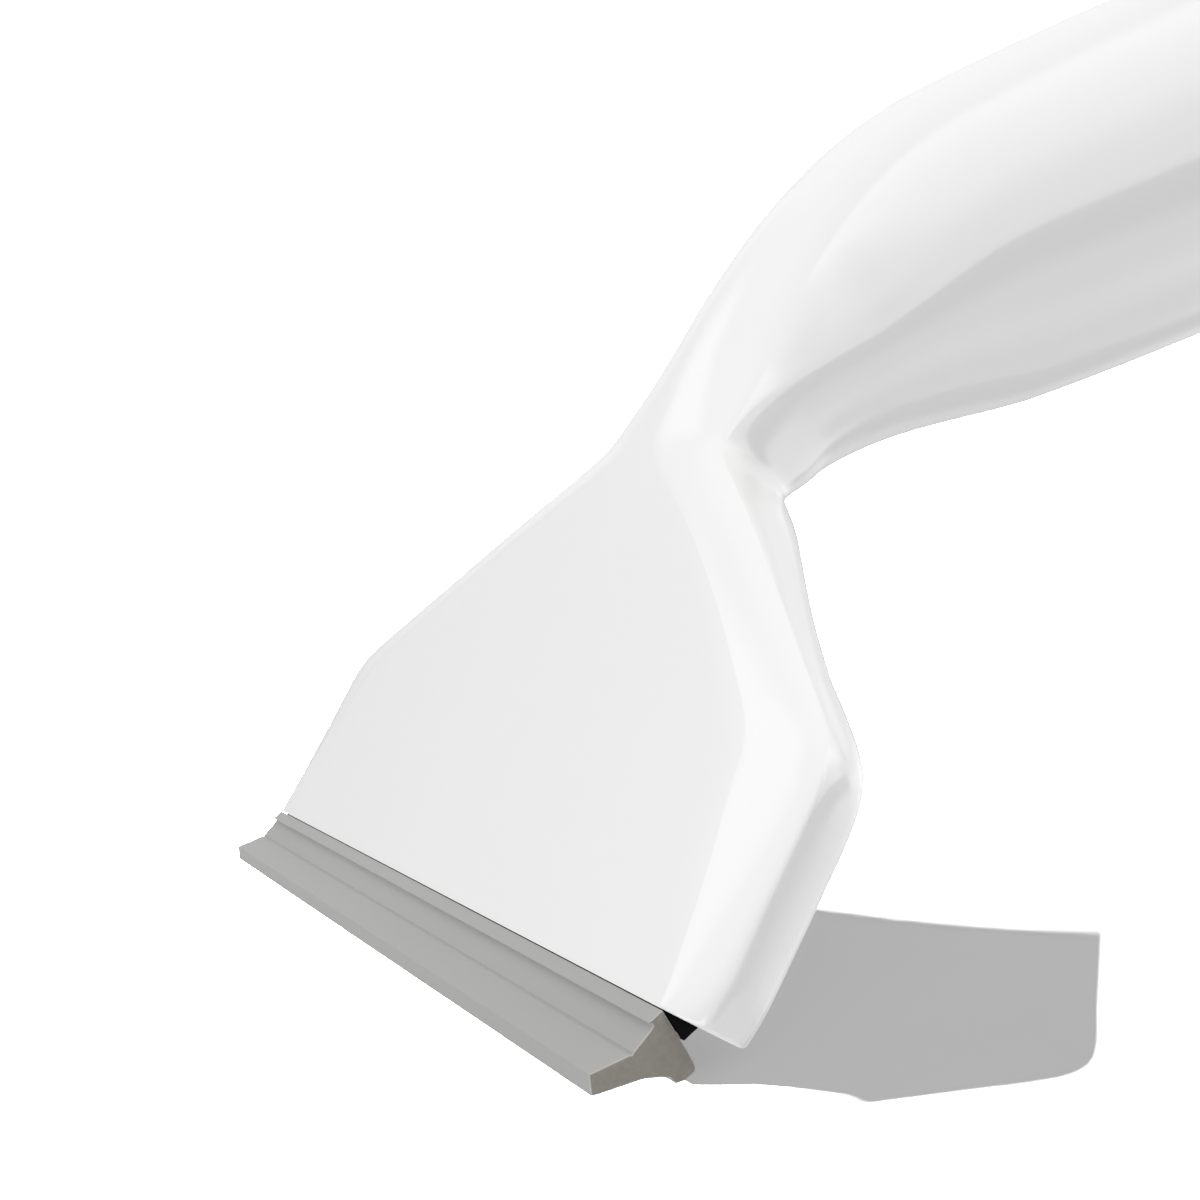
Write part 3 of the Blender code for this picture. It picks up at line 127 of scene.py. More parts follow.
# Head cover and screws
COVER_THICKNESS = 2.0 * MM
COVER_FOOT = 11.0 * MM
COVER_BREAK = 24.0 * MM
COVER_TOP = 37.0 * MM
COVER_HALF_WIDTH = 90.0 * MM
COVER_TOP_HALF_WIDTH = 72.0 * MM
COVER_CORNER = 4.0 * MM
COVER_RECESS = 0.1 * MM
LEDGE_WIDTH = 3.0 * MM
FRONT_WALL = 3.0 * MM
COVER_SCREW_PLACES = ((-62.0 * MM, 19.0 * MM), (-22.0 * MM, 29.0 * MM),
                      (22.0 * MM, 29.0 * MM), (62.0 * MM, 19.0 * MM))
BOSS_RADIUS = 3.4 * MM
BOSS_SINK = 0.5 * MM
SCREW_RADIUS = 1.0 * MM
SCREW_HEAD_RADIUS = 2.1 * MM
SCREW_HEAD_HEIGHT = 0.9 * MM
SCREW_DOME = 0.3 * MM
SCREW_LENGTH = 4.5 * MM
SCREW_SLOT_WIDTH = 0.6 * MM
SCREW_SLOT_DEPTH = 0.45 * MM

# Tube, lock and rear grip
TUBE_START = 101.15 * MM
TUBE_END = 336.45 * MM
TUBE_RADIUS = 11.0 * MM
TUBE_WALL = 1.2 * MM
PLUG_PIN_PLACE = TUBE_START + 6.5 * MM
GRIP_PIN_PLACE = TUBE_END - 6.0 * MM
PIN_RADIUS = 1.4 * MM
BUSH_INSERT = 12.0 * MM
FLANGE_THICKNESS = 2.0 * MM
NOSE_LENGTH = 13.0 * MM
NOSE_RADIUS = 13.5 * MM
THREAD_DEPTH = 0.6 * MM
THREAD_PITCH = 3.0 * MM
COLLET_RADIUS = 13.2 * MM
COLLET_END_RADIUS = 12.5 * MM
COLLET_LENGTH = 10.0 * MM
COLLAR_START = 217.45 * MM
COLLAR_LENGTH = 26.0 * MM
COLLAR_RADIUS = 18.0 * MM
COLLAR_LIP = 3.6 * MM
BAND_START = 3.5 * MM
BAND_LENGTH = 14.0 * MM
BAND_DEPTH = 1.2 * MM
BAND_RIBS = 24
BAND_RIB_DEPTH = 0.3 * MM
RING_WIDTH = 1.2 * MM
RING_SETBACK = 2.0 * MM
SEAL_WIDTH = 1.2 * MM
GRIP_START = 248.45 * MM
GRIP_LENGTH = 92.0 * MM
GRIP_RADIUS = 17.5 * MM
GRIP_FRONT_RADIUS = 16.5 * MM
GRIP_FLANGE = 7.0 * MM
GRIP_CORE_RADIUS = 14.0 * MM
GRIP_WAVE = 0.9 * MM
GRIP_WAVES = 3
TAIL_ROUNDING = 2.0 * MM
CAP_START = 340.6 * MM
CAP_LENGTH = 11.0 * MM
CAP_SPIGOT = 16.0 * MM
EAR_THICKNESS = 3.2 * MM
EAR_RADIUS = 4.5 * MM
LOOP_THICKNESS = 5.0 * MM
LOOP_NECK_WIDTH = 13.6 * MM
LOOP_RADIUS = 13.0 * MM
LOOP_HOLE_RADIUS = 8.5 * MM
LOOP_REACH = 17.0 * MM
LOOP_EDGE = 0.8 * MM
LOOP_PIN_RADIUS = 1.5 * MM
LOOP_PIN_DOME = 0.35 * MM

# Fineness of round forms and the rounding of crisp edges
ROUND_STEPS = 128
BORE_STEPS = 64
PIN_STEPS = 48
SMALL_STEPS = 32
NECK_STEPS = 200
STATION_COUNTS = (96, 56, 48)
FLAT_POINTS = 6
EDGE = 0.25 * MM
FINE_EDGE = 0.12 * MM

# Camera, matched to the photograph in the tool's axes
CAMERA_PLACE = (337.195 * MM, -57.803 * MM, 72.49 * MM)
CAMERA_TURN = (81.692, 21.55, 71.114)
CAMERA_LENS = 78.0
CAMERA_SENSOR = 36.0
CAMERA_NEAR = 10.0 * MM

# Section of the head and neck along the stations: 0 to 1 up the flat face, 1 to 2 round the
# neck, 2 to 3 along the barrel; widths and depths in metres
FRONT_STEPS = ((0.9, -0.136), (1.0, 0.0), (1.1, 0.12), (1.3, 0.315), (1.55, 0.5), (1.8, 0.71),
               (2.0, 1.0), (2.1, 1.19))
BACK_STEPS = ((0.4, -0.1), (0.5, 0.0), (0.6, 0.115), (0.763, 0.31), (0.9, 0.42), (1.05, 0.505),
              (1.25, 0.575), (1.5, 0.655), (1.75, 0.785), (2.0, 1.0), (2.1, 1.14))
NECK_WIDTHS = ((0.7, NECK_HALF_WIDTH), (0.88, NECK_HALF_WIDTH), (1.05, 22.4 * MM),
               (1.4, 22.3 * MM), (2.0, BARREL_HALF_WIDTH), (2.45, BARREL_HALF_WIDTH),
               (3.0, MOUTH_RADIUS))
RIDGE_DEPTHS = ((-0.1, 3.9 * MM), (0.0, 3.7 * MM), (0.1, 3.3 * MM), (0.17, 2.95 * MM),
                (0.24, 2.8 * MM), (0.38, 2.6 * MM), (0.5, 2.8 * MM), (0.7, 2.8 * MM),
                (0.84, 2.8 * MM), (0.95, 4.4 * MM), (1.08, 8.6 * MM), (1.35, 15.5 * MM),
                (1.6, 19.5 * MM), (2.0, BULGE_RADIUS - TOP_FALL[0]),
                (2.3, BULGE_RADIUS - 0.4 * MM), (3.0, MOUTH_RADIUS))
FRONT_EDGES = ((0.0, 6.1 * MM), (0.06, 8.6 * MM), (0.15, 10.7 * MM), (0.24, 13.9 * MM),
               (0.33, 17.0 * MM), (0.42, 17.9 * MM), (0.58, 15.6 * MM), (0.7, 16.2 * MM),
               (0.82, 20.5 * MM), (0.95, 21.8 * MM), (1.2, 22.3 * MM), (3.0, 22.5 * MM))
BACK_EDGES = ((0.0, 4.0 * MM), (0.3, 4.6 * MM), (0.42, 8.0 * MM), (0.6, 9.0 * MM),
              (0.75, 13.5 * MM), (0.86, 14.5 * MM), (0.97, 15.0 * MM), (1.1, 20.0 * MM),
              (1.4, 22.5 * MM))
FRONT_CREASE = ((0.0, 1.6), (0.1, 1.3), (0.2, 1.15), (0.6, 1.2), (0.84, 1.5), (1.0, 1.8),
                (1.3, 2.0), (3.0, 2.0))
FRONT_POWER = ((0.0, 2.2), (0.15, 2.4), (0.4, 2.4), (0.6, 2.0), (0.84, 1.7), (1.0, 1.8),
               (1.3, 2.05), (3.0, 2.0))
BACK_POWER = ((0.0, 2.2), (0.6, 2.2), (0.8, 2.0), (0.95, 2.15), (1.3, 2.1), (3.0, 2.0))
SMOOTHING_STEP = 0.02
SMOOTHING_WEIGHTS = (1, 6, 15, 20, 15, 6, 1)


def joint(name):
    return next(item for item in frame["joints"] if item["name"] == name)


def tool_matrix():
    """The tool's axes in the world, from the slide's axis and the hang loop's pin."""
    along = -Vector(joint("head_slide")["axis"]).normalized()
    across = Vector((1.0, 0.0, 0.0))
    up = across.cross(along)
    pin = Vector(joint("loop_swing")["pos_m"])
    origin = pin - along * LOOP_PIVOT - up * AXIS_HEIGHT
    matrix = Matrix((across, along, up)).transposed().to_4x4()
    matrix.translation = origin
    return matrix


TOOL = tool_matrix()
PLATE_UP = Vector((math.cos(PLATE_LEAN), math.sin(PLATE_LEAN)))
PLATE_FRONT = Vector((-math.sin(PLATE_LEAN), math.cos(PLATE_LEAN)))


def blend(row, value):
    """Smooth value between the (place, size) pairs of a row, never past its neighbours."""
    xs = [pair[0] for pair in row]
    ys = [pair[1] for pair in row]
    if value <= xs[0]:
        return ys[0]
    if value >= xs[-1]:
        return ys[-1]
    steps = [xs[i + 1] - xs[i] for i in range(len(xs) - 1)]
    slopes = [(ys[i + 1] - ys[i]) / steps[i] for i in range(len(steps))]
    grades = [0.0] * len(xs)
    for i in range(1, len(xs) - 1):
        before, after = slopes[i - 1], slopes[i]
        if before * after > 0.0:
            w1 = 2.0 * steps[i] + steps[i - 1]
            w2 = steps[i] + 2.0 * steps[i - 1]
            grades[i] = (w1 + w2) / (w1 / before + w2 / after)
    i = max(k for k in range(len(steps)) if xs[k] <= value)
    t = (value - xs[i]) / steps[i]
    low = (1 + 2 * t) * (1 - t) ** 2 * ys[i] + t * (1 - t) ** 2 * steps[i] * grades[i]
    high = t * t * (3 - 2 * t) * ys[i + 1] + t * t * (t - 1) * steps[i] * grades[i + 1]
    return low + high


def smooth_blend(row, value):
    """Value between the pairs of a row, averaged a little so that reflections run smoothly."""
    return sum(weight * blend(row, value + SMOOTHING_STEP * (k - 3))
               for k, weight in enumerate(SMOOTHING_WEIGHTS)) / sum(SMOOTHING_WEIGHTS)


def bezier(start, start_handle, end_handle, end, t):
    s = 1.0 - t
    return (s ** 3 * start + 3 * s * s * t * start_handle
            + 3 * s * t * t * end_handle + t ** 3 * end)


def on_plate(h, d):
    """Point (a, n) at height h and depth d of the leaning head plate."""
    return PLATE_UP * h - PLATE_FRONT * d


def soft_step(value, width):
    """Smooth version of max(value, 0)."""
    if value > 30.0 * width:
        return value
    return width * math.log(1.0 + math.exp(value / width))


def plan_half_width(h):
    """Half-width of the head in plan: straight sides, a round shoulder and a slope to the neck."""
    low = max(FOOT_TAPER_HEIGHT - h, 0.0) / FOOT_TAPER_HEIGHT
    side = HEAD_HALF_WIDTH - FOOT_TAPER * low ** 2
    slope = (NECK_HEIGHT - SHOULDER_HEIGHT) / (HEAD_HALF_WIDTH - NECK_HALF_WIDTH)
    sloping = (NECK_HEIGHT - h) / slope + NECK_HALF_WIDTH
    head = side - soft_step(side - sloping, SHOULDER_BLEND)
    neck = blend(NECK_WIDTHS, h / FACE_HEIGHT)
    return neck + soft_step(head - neck, NECK_BLEND)


def barrel_radius(a, fall, power):
    """Reach of the barrel's top or underside from its axis."""
    if a > BULGE_PLACE:
        share = (a - BULGE_PLACE) / (MOUTH_PLACE - BULGE_PLACE)
        return MOUTH_RADIUS + 0.5 * (BULGE_RADIUS - MOUTH_RADIUS) * (1 + math.cos(math.pi * share))
    share = (BULGE_PLACE - a) / (BULGE_PLACE - NECK_END)
    return BULGE_RADIUS - fall * share ** power


def path(points):
    """Points with the length of the line up to each of them."""
    lengths = [0.0]
    for before, after in zip(points, points[1:]):
        lengths.append(lengths[-1] + (after - before).length)
    return points, lengths


def along(line, share):
    """Point on a line at a share of its length."""
    points, lengths = line
    place = min(max(share, 0.0), 1.0) * lengths[-1]
    k = min(max(bisect.bisect_right(lengths, place) - 1, 0), len(points) - 2)
    part = (place - lengths[k]) / (lengths[k + 1] - lengths[k])
    return points[k].lerp(points[k + 1], part)


def front_of_neck():
    start = on_plate(FACE_HEIGHT, 0.0)
    end = Vector((NECK_END, AXIS_HEIGHT + barrel_radius(NECK_END, *TOP_FALL)))
    leave = start + PLATE_UP * NECK_FRONT_LEAVE
    arrive = end - Vector(NECK_FRONT_ARRIVE)
    return path([bezier(start, leave, arrive, end, k / NECK_STEPS)
                 for k in range(NECK_STEPS + 1)])


def back_of_neck():
    """The back's bend from the plate to the underside of the handle, and on to the barrel."""
    start = on_plate(BACK_HEIGHT, PLATE_THICKNESS)
    middle = Vector((UNDERSIDE_START, AXIS_HEIGHT - UNDERSIDE_DROP))
    leave = start + PLATE_UP * NECK_BACK_LEAVE
    arrive = middle - Vector((NECK_BACK_ARRIVE, 0.0))
    bend = [bezier(start, leave, arrive, middle, k / NECK_STEPS) for k in range(NECK_STEPS)]
    end = Vector((NECK_END, AXIS_HEIGHT - barrel_radius(NECK_END, *UNDER_FALL)))
    low_leave = middle + Vector((UNDERSIDE_LEAVE, 0.0))
    low_arrive = end - Vector(UNDERSIDE_ARRIVE)
    count = NECK_STEPS // 2
    return path(bend + [bezier(middle, low_leave, low_arrive, end, k / count)
                        for k in range(count + 1)])


FRONT_OF_NECK = front_of_neck()
BACK_OF_NECK = back_of_neck()


def rails(u):
    """Front and back points of the body in its middle plane.

    The station u is 0 to 1 up the flat face, 1 to 2 round the neck and 2 to 3 along the barrel.
    """
    if u > 2.0:
        a = NECK_END + (MOUTH_PLACE - NECK_END) * (u - 2.0)
        return (Vector((a, AXIS_HEIGHT + barrel_radius(a, *TOP_FALL))),
                Vector((a, AXIS_HEIGHT - barrel_radius(a, *UNDER_FALL))))
    h = FACE_HEIGHT * u
    front = on_plate(h, 0.0) if u <= 1.0 else along(FRONT_OF_NECK, smooth_blend(FRONT_STEPS, u))
    if u <= BACK_HEIGHT / FACE_HEIGHT:
        return front, on_plate(h, PLATE_THICKNESS)
    return front, along(BACK_OF_NECK, smooth_blend(BACK_STEPS, u))


def section_shape(u):
    """Half-width, ridge depth, front and back edge widths and edge fullness at a station."""
    half = plan_half_width(FACE_HEIGHT * u) if u <= 1.0 else smooth_blend(NECK_WIDTHS, u)
    ridge, front, back, crease, front_power, back_power = [
        smooth_blend(row, u) for row in (RIDGE_DEPTHS, FRONT_EDGES, BACK_EDGES, FRONT_CREASE,
                                         FRONT_POWER, BACK_POWER)]
    return half, ridge, min(front, half), min(back, half), (crease, front_power), back_power


def edge_points(half, edge, height, powers, count):
    """Quarter outline from the centre line out to the ridge: a flat, then a rounded edge.

    The first power sets how crisply the edge leaves the flat and the second how full it
    is at the ridge. Where the flat is narrow, its points move on along the rounded edge.
    """
    crease, power = powers
    flat = half - edge
    first = math.radians(12.0) * max(1.0 - flat / (6.0 * MM), 0.0)
    angles = [first * k / FLAT_POINTS for k in range(FLAT_POINTS)]
    angles += [first + (0.5 * math.pi - first) * k / count for k in range(count + 1)]
    points = []
    for k, angle in enumerate(angles):
        x = flat * min(k / FLAT_POINTS, 1.0) + edge * math.sin(angle) ** (2 / crease)
        points.append((x, height * max(math.cos(angle), 0.0) ** (2 / power)))
    return points


def half_section(u, shrink_front, shrink_back):
    """Right half of the body's section at a station, from front centre to back centre."""
    front, back = rails(u)
    half, ridge, front_edge, back_edge, front_powers, back_power = section_shape(u)
    depth = (front - back).length
    outward = (front - back) / depth
    high = ridge * (1.0 - shrink_front / max(ridge, MM))
    low = (depth - ridge) * (1.0 - shrink_back / max(depth - ridge, MM))
    centre = front - outward * ridge
    outline = edge_points(half, front_edge, high, front_powers, 30)
    outline += edge_points(half, back_edge, -low, (back_power, back_power), 24)[-2::-1]
    keep = (half - max(shrink_front, shrink_back)) / half
    return [(x * keep, *(centre + outward * side)) for x, side in outline]


def body_stations():
    """Sections from the foot to the mouth: station and how far its front and back draw in."""
    quarter = [0.5 * math.pi * k / 4 for k in range(5)]
    stations = [(FOOT_ROUNDING * (1 - math.cos(angle)) / FACE_HEIGHT, 0.0,
                 FOOT_ROUNDING * (1 - math.sin(angle))) for angle in quarter]
    foot = FOOT_ROUNDING / FACE_HEIGHT
    head, neck, barrel = STATION_COUNTS
    between = [foot + (1.0 - foot) * k / head for k in range(1, head + 1)]
    between += [1.0 + k / neck for k in range(1, neck + 1)]
    between += [2.0 + k / barrel for k in range(1, barrel)]
    stations += [(u, 0.0, 0.0) for u in between]
    for angle in quarter:
        a = MOUTH_PLACE - MOUTH_ROUNDING * (1 - math.sin(angle))
        inset = MOUTH_ROUNDING * (1 - math.cos(angle))
        stations.append((2.0 + (a - NECK_END) / (MOUTH_PLACE - NECK_END), inset, inset))
    return stations


PLATE = TOOL @ Matrix.Rotation(PLATE_LEAN, 4, "X")
ACROSS = TOOL @ Matrix(((0, 0, 1, 0), (1, 0, 0, 0), (0, 1, 0, 0), (0, 0, 0, 1)))


def on_handle(place):
    """Axes on the handle's centre line: x across, y along the handle, z up."""
    return TOOL @ Matrix.Translation((0.0, place, AXIS_HEIGHT))


def arc(centre, radius, start, end, count):
    """Points of a circular arc between two angles in degrees."""
    points = []
    for k in range(count + 1):
        angle = math.radians(start + (end - start) * k / count)
        points.append((centre[0] + radius * math.cos(angle), centre[1] + radius * math.sin(angle)))
    return points


def rounded_outline(corners, radius, count=3):
    """Outline with each corner replaced by an arc, smaller where its sides are short."""
    outline = []
    for k, corner in enumerate(corners):
        here = Vector(corner)
        to_before = Vector(corners[k - 1]) - here
        to_after = Vector(corners[(k + 1) % len(corners)]) - here
        before, after = to_before.normalized(), to_after.normalized()
        half = 0.5 * before.angle(after)
        longest = 0.48 * min(to_before.length, to_after.length)
        reach = min(radius / math.tan(half), longest)
        if reach < 0.001 * radius:
            outline.append(tuple(here))
            continue
        size = reach * math.tan(half)
        centre = here + (before + after).normalized() * size / math.sin(half)
        first = here + before * reach - centre
        last = here + after * reach - centre
        turn = math.atan2(first.x * last.y - first.y * last.x, first.dot(last))
        for j in range(count + 1):
            angle = math.atan2(first.y, first.x) + turn * j / count
            outline.append((centre.x + size * math.cos(angle), centre.y + size * math.sin(angle)))
    return outline


def new_object(name, data, place=TOOL):
    item = bpy.data.objects.new(name, data)
    bpy.context.scene.collection.objects.link(item)
    item.matrix_world = place
    return item


def mesh_from(bm, name):
    mesh = bpy.data.meshes.new(name)
    bm.to_mesh(mesh)
    bm.free()
    return mesh


def final_mesh(item):
    """An object's mesh after all modifiers."""
    bpy.context.view_layer.update()
    graph = bpy.context.evaluated_depsgraph_get()
    return bpy.data.meshes.new_from_object(item.evaluated_get(graph))


def settle(item):
    """Replace an object's data by its final mesh."""
    mesh = final_mesh(item)
    item.modifiers.clear()
    item.data = mesh


def combine(item, tools, operation="DIFFERENCE"):
    """Apply one Boolean with several tools, and remove the tools."""
    group = bpy.data.collections.new("tools")
    bpy.context.scene.collection.children.link(group)
    for tool in tools:
        group.objects.link(tool)
    change = item.modifiers.new("combine", "BOOLEAN")
    change.operation = operation
    change.operand_type = "COLLECTION"
    change.collection = group
    change.solver = "EXACT"
    settle(item)
    for tool in tools:
        bpy.data.objects.remove(tool, do_unlink=True)
    bpy.data.collections.remove(group)


def dress(item, body, slot, nodes, edge=0.0, sharp=35.0):
    """Shade a piece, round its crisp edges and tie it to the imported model."""
    item.data.transform(item.matrix_world)
    item.matrix_world = Matrix.Identity(4)
    item.data.materials.clear()
    item.data.materials.append(MATERIALS[slot])
    item.data.shade_smooth()
    item.data.set_sharp_from_angle(angle=math.radians(sharp))
    if edge:
        bevel = item.modifiers.new("edges", "BEVEL")
        bevel.width = edge
        bevel.segments = 3
        bevel.limit_method = "ANGLE"
        bevel.angle_limit = math.radians(sharp)
        bevel.harden_normals = True
    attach(item, body)
    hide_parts(*nodes)


def loft_half(sections):
    """Half shell through the sections, closed at both ends."""
    bm = bmesh.new()
    rows = [[bm.verts.new(point) for point in section] for section in sections]
    for row, following in zip(rows, rows[1:]):
        for k in range(len(row) - 1):
            bm.faces.new((row[k], row[k + 1], following[k + 1], following[k]))
    bm.faces.new(reversed(rows[0]))
    bm.faces.new(rows[-1])
    return mesh_from(bm, "half_shell")


def turned(name, start, profile, steps=ROUND_STEPS):
    """Solid turned about the handle's axis from (radius, distance) points."""
    bm = bmesh.new()
    rings = []
    for radius, distance in profile:
        angles = [2.0 * math.pi * k / steps for k in range(steps if radius else 1)]
        rings.append([bm.verts.new((radius * math.cos(angle), distance, radius * math.sin(angle)))
                      for angle in angles])
    for ring, following in zip(rings, rings[1:] + rings[:1]):
        if len(ring) == 1 and len(following) == 1:
            continue
        for k in range(steps):
            j = (k + 1) % steps
            if len(ring) == 1:
                bm.faces.new((ring[0], following[j], following[k]))
            elif len(following) == 1:
                bm.faces.new((ring[k], ring[j], following[0]))
            else:
                bm.faces.new((ring[k], ring[j], following[j], following[k]))
    bmesh.ops.recalc_face_normals(bm, faces=bm.faces)
    return new_object(name, mesh_from(bm, name), on_handle(start))


def extruded(name, loops, thickness, place, edge=0.0):
    """Flat outline with optional holes, extruded evenly along local Z, with rounded rims."""
    curve = bpy.data.curves.new(name, "CURVE")
    curve.dimensions = "2D"
    curve.fill_mode = "BOTH"
    curve.extrude = 0.5 * thickness - edge
    curve.bevel_depth = edge
    curve.bevel_resolution = 2
    curve.offset = -edge
    for loop in loops:
        spline = curve.splines.new("POLY")
        spline.points.add(len(loop) - 1)
        for point, (x, y) in zip(spline.points, loop):
            point.co = (x, y, 0.0, 1.0)
        spline.use_cyclic_u = True
    item = new_object(name, curve, place)
    mesh = final_mesh(item)
    bpy.data.objects.remove(item, do_unlink=True)
    bm = bmesh.new()
    bm.from_mesh(mesh)
    bmesh.ops.remove_doubles(bm, verts=bm.verts, dist=0.000001)
    bmesh.ops.recalc_face_normals(bm, faces=bm.faces)
    bm.to_mesh(mesh)
    bm.free()
    return new_object(name, mesh, place)


def rod(name, radius, length, place):
    """Cylinder centred on its local Z."""
    bm = bmesh.new()
    bmesh.ops.create_cone(bm, cap_ends=True, segments=SMALL_STEPS, radius1=radius,
                          radius2=radius, depth=length)
    return new_object(name, mesh_from(bm, name), place)


def block(name, size, place):
    bm = bmesh.new()
    bmesh.ops.create_cube(bm, size=1.0, matrix=Matrix.Diagonal((*size, 1.0)))
    return new_object(name, mesh_from(bm, name), place)


def at_plate(x, h, d):
    return PLATE @ Matrix.Translation((x, h, -d))


def across_handle(place):
    """Axes whose local Z runs across the handle."""
    return on_handle(place) @ Matrix.Rotation(0.5 * math.pi, 4, "Y")


def cover_outline(grow):
    """Outline of the head cover on the plate, grown or shrunk evenly."""
    slant = math.atan2(COVER_HALF_WIDTH - COVER_TOP_HALF_WIDTH, COVER_TOP - COVER_BREAK)
    side = COVER_HALF_WIDTH + grow
    top = COVER_TOP + grow
    top_side = COVER_TOP_HALF_WIDTH + grow * (1.0 / math.cos(slant) - math.tan(slant))
    break_height = COVER_BREAK + grow * math.tan(0.5 * slant)
    corners = ((-side, COVER_FOOT - grow), (side, COVER_FOOT - grow), (side, break_height),
               (top_side, top), (-top_side, top), (-side, break_height))
    return rounded_outline(corners, COVER_CORNER + grow, 8)


def body_hollows():
    """Tools for the bore, the blade carrier's slot and the cover's pocket."""
    length = MOUTH_PLACE - BORE_START + 2 * OVERSHOOT
    bore = turned("cut_bore", BORE_START, [(0.0, 0.0), (BORE_RADIUS, 0.0), (BORE_RADIUS, length),
                                           (0.0, length)], BORE_STEPS)
    depth = BORE_RADIUS + KEY_HEIGHT + CUT_GAP
    middle = BORE_START + 0.5 * length + OVERSHOOT
    groove = block("cut_groove", (KEY_WIDTH + 2 * CUT_GAP, length, depth),
                   on_handle(middle) @ Matrix.Translation((0.0, 0.0, -0.5 * depth)))
    front = BLADE_TONGUE_FRONT - SEAT_GAP
    back = BLADE_TONGUE_BACK + SEAT_GAP
    top = CARRIER_TONGUE_HEIGHT + SEAT_GAP
    slot = block("cut_slot", (BLADE_LENGTH + 2 * CUT_GAP, top + 2 * OVERSHOOT, back - front),
                 at_plate(0.0, 0.5 * top - OVERSHOOT, 0.5 * (front + back)))
    rabbet_depth = COVER_THICKNESS + COVER_RECESS + SEAT_GAP
    rabbet = extruded("cut_rabbet", [cover_outline(CUT_GAP)], 2 * rabbet_depth,
                      at_plate(0.0, 0.0, PLATE_THICKNESS))
    pocket = extruded("cut_pocket", [cover_outline(-LEDGE_WIDTH)],
                      2 * (PLATE_THICKNESS - FRONT_WALL), at_plate(0.0, 0.0, PLATE_THICKNESS))
    return [bore, groove, slot, rabbet, pocket]


def screw_bosses(ledge):
    foot = FRONT_WALL - BOSS_SINK
    return [rod("add_boss", BOSS_RADIUS, ledge - foot, at_plate(x, h, 0.5 * (ledge + foot)))
            for x, h in COVER_SCREW_PLACES]


def screw_holes(ledge):
    tools = [rod("cut_pilot", SCREW_RADIUS + SEAT_GAP, 2 * (SCREW_LENGTH - MM),
                 at_plate(x, h, ledge)) for x, h in COVER_SCREW_PLACES]
    for x in CARRIER_SCREW_PLACES:
        place = at_plate(x, CARRIER_SCREW_HEIGHT, PLATE_THICKNESS)
        tools.append(rod("cut_shaft", SCREW_RADIUS + CUT_GAP,
                         2 * (PLATE_THICKNESS - BULB_DEPTH), place))
        tools.append(rod("cut_head", SCREW_HEAD_RADIUS + CUT_GAP,
                         2 * (SCREW_HEAD_HEIGHT + 2 * SEAT_GAP), place))
    return tools


def make_body():
    sections = [half_section(*station) for station in body_stations()]
    body = new_object("body_shell", loft_half(sections))
    mirror = body.modifiers.new("other_half", "MIRROR")
    mirror.use_axis = (True, False, False)
    mirror.merge_threshold = 0.00001
    settle(body)
    ledge = PLATE_THICKNESS - COVER_THICKNESS - COVER_RECESS - 2 * SEAT_GAP
    combine(body, body_hollows())
    combine(body, screw_bosses(ledge), "UNION")
    combine(body, screw_holes(ledge))
    dress(body, "head", "gloss_white", ["main_body"])


def make_head_cover():
    outside = PLATE_THICKNESS - COVER_RECESS
    cover = extruded("cover_plate", [cover_outline(0.0)], COVER_THICKNESS,
                     at_plate(0.0, 0.0, outside - 0.5 * COVER_THICKNESS), EDGE)
    tools = []
    for x, h in COVER_SCREW_PLACES:
        tools.append(rod("cut_hole", SCREW_RADIUS + CUT_GAP, 3 * COVER_THICKNESS,
                         at_plate(x, h, outside)))
        tools.append(rod("cut_sink", SCREW_HEAD_RADIUS + CUT_GAP,
                         2 * (SCREW_HEAD_HEIGHT + SEAT_GAP), at_plate(x, h, outside)))
    combine(cover, tools)
    dress(cover, "head", "cover_white", ["head_cover"])


def make_screw(holds, number, x, h, outside, length):
    """Screw with a low domed head and a cross slot, driven in from the back."""
    shares = [k / 6 for k in range(7)]
    profile = [(SCREW_HEAD_RADIUS * share, SCREW_DOME * share ** 3) for share in shares]
    profile += [(SCREW_HEAD_RADIUS, SCREW_HEAD_HEIGHT), (SCREW_RADIUS, SCREW_HEAD_HEIGHT),
                (SCREW_RADIUS, length - SCREW_RADIUS), (0.0, length)]
    screw = turned(f"screw_of_{holds}_{number}", 0.0, profile, PIN_STEPS)
    screw.matrix_world = at_plate(x, h, outside) @ Matrix.Rotation(0.5 * math.pi, 4, "X")
    slots = []
    for k in range(2):
        size = [SCREW_SLOT_WIDTH, SCREW_SLOT_WIDTH, 2 * SCREW_SLOT_DEPTH]
        size[k] = 1.3 * SCREW_HEAD_RADIUS
        slots.append(block("cut_slot", size, at_plate(x, h, outside)))
    combine(screw, slots)
    dress(screw, "head", "steel", [f"{holds}_screw_{number}"])


def make_screws():
    outside = PLATE_THICKNESS - COVER_RECESS - 0.5 * SEAT_GAP
    for number, (x, h) in enumerate(COVER_SCREW_PLACES, 1):
        make_screw("cover", number, x, h, outside, SCREW_LENGTH)
    for number, x in enumerate(CARRIER_SCREW_PLACES, 1):
        make_screw("carrier", number, x, CARRIER_SCREW_HEIGHT, PLATE_THICKNESS - SEAT_GAP,
                   PLATE_THICKNESS - BULB_DEPTH - SEAT_GAP)


def blade_back(n):
    """Distance a of the blade's straight back at height n."""
    return -n * BLADE_BACK_SLOPE


def rib_on_back(d, gap):
    """Point where a line along the plate at depth d meets the blade's back, moved by a gap."""
    slope = BLADE_BACK_SLOPE
    n = -d / (slope * math.sin(PLATE_LEAN) + math.cos(PLATE_LEAN))
    return (blade_back(n) + gap, n)


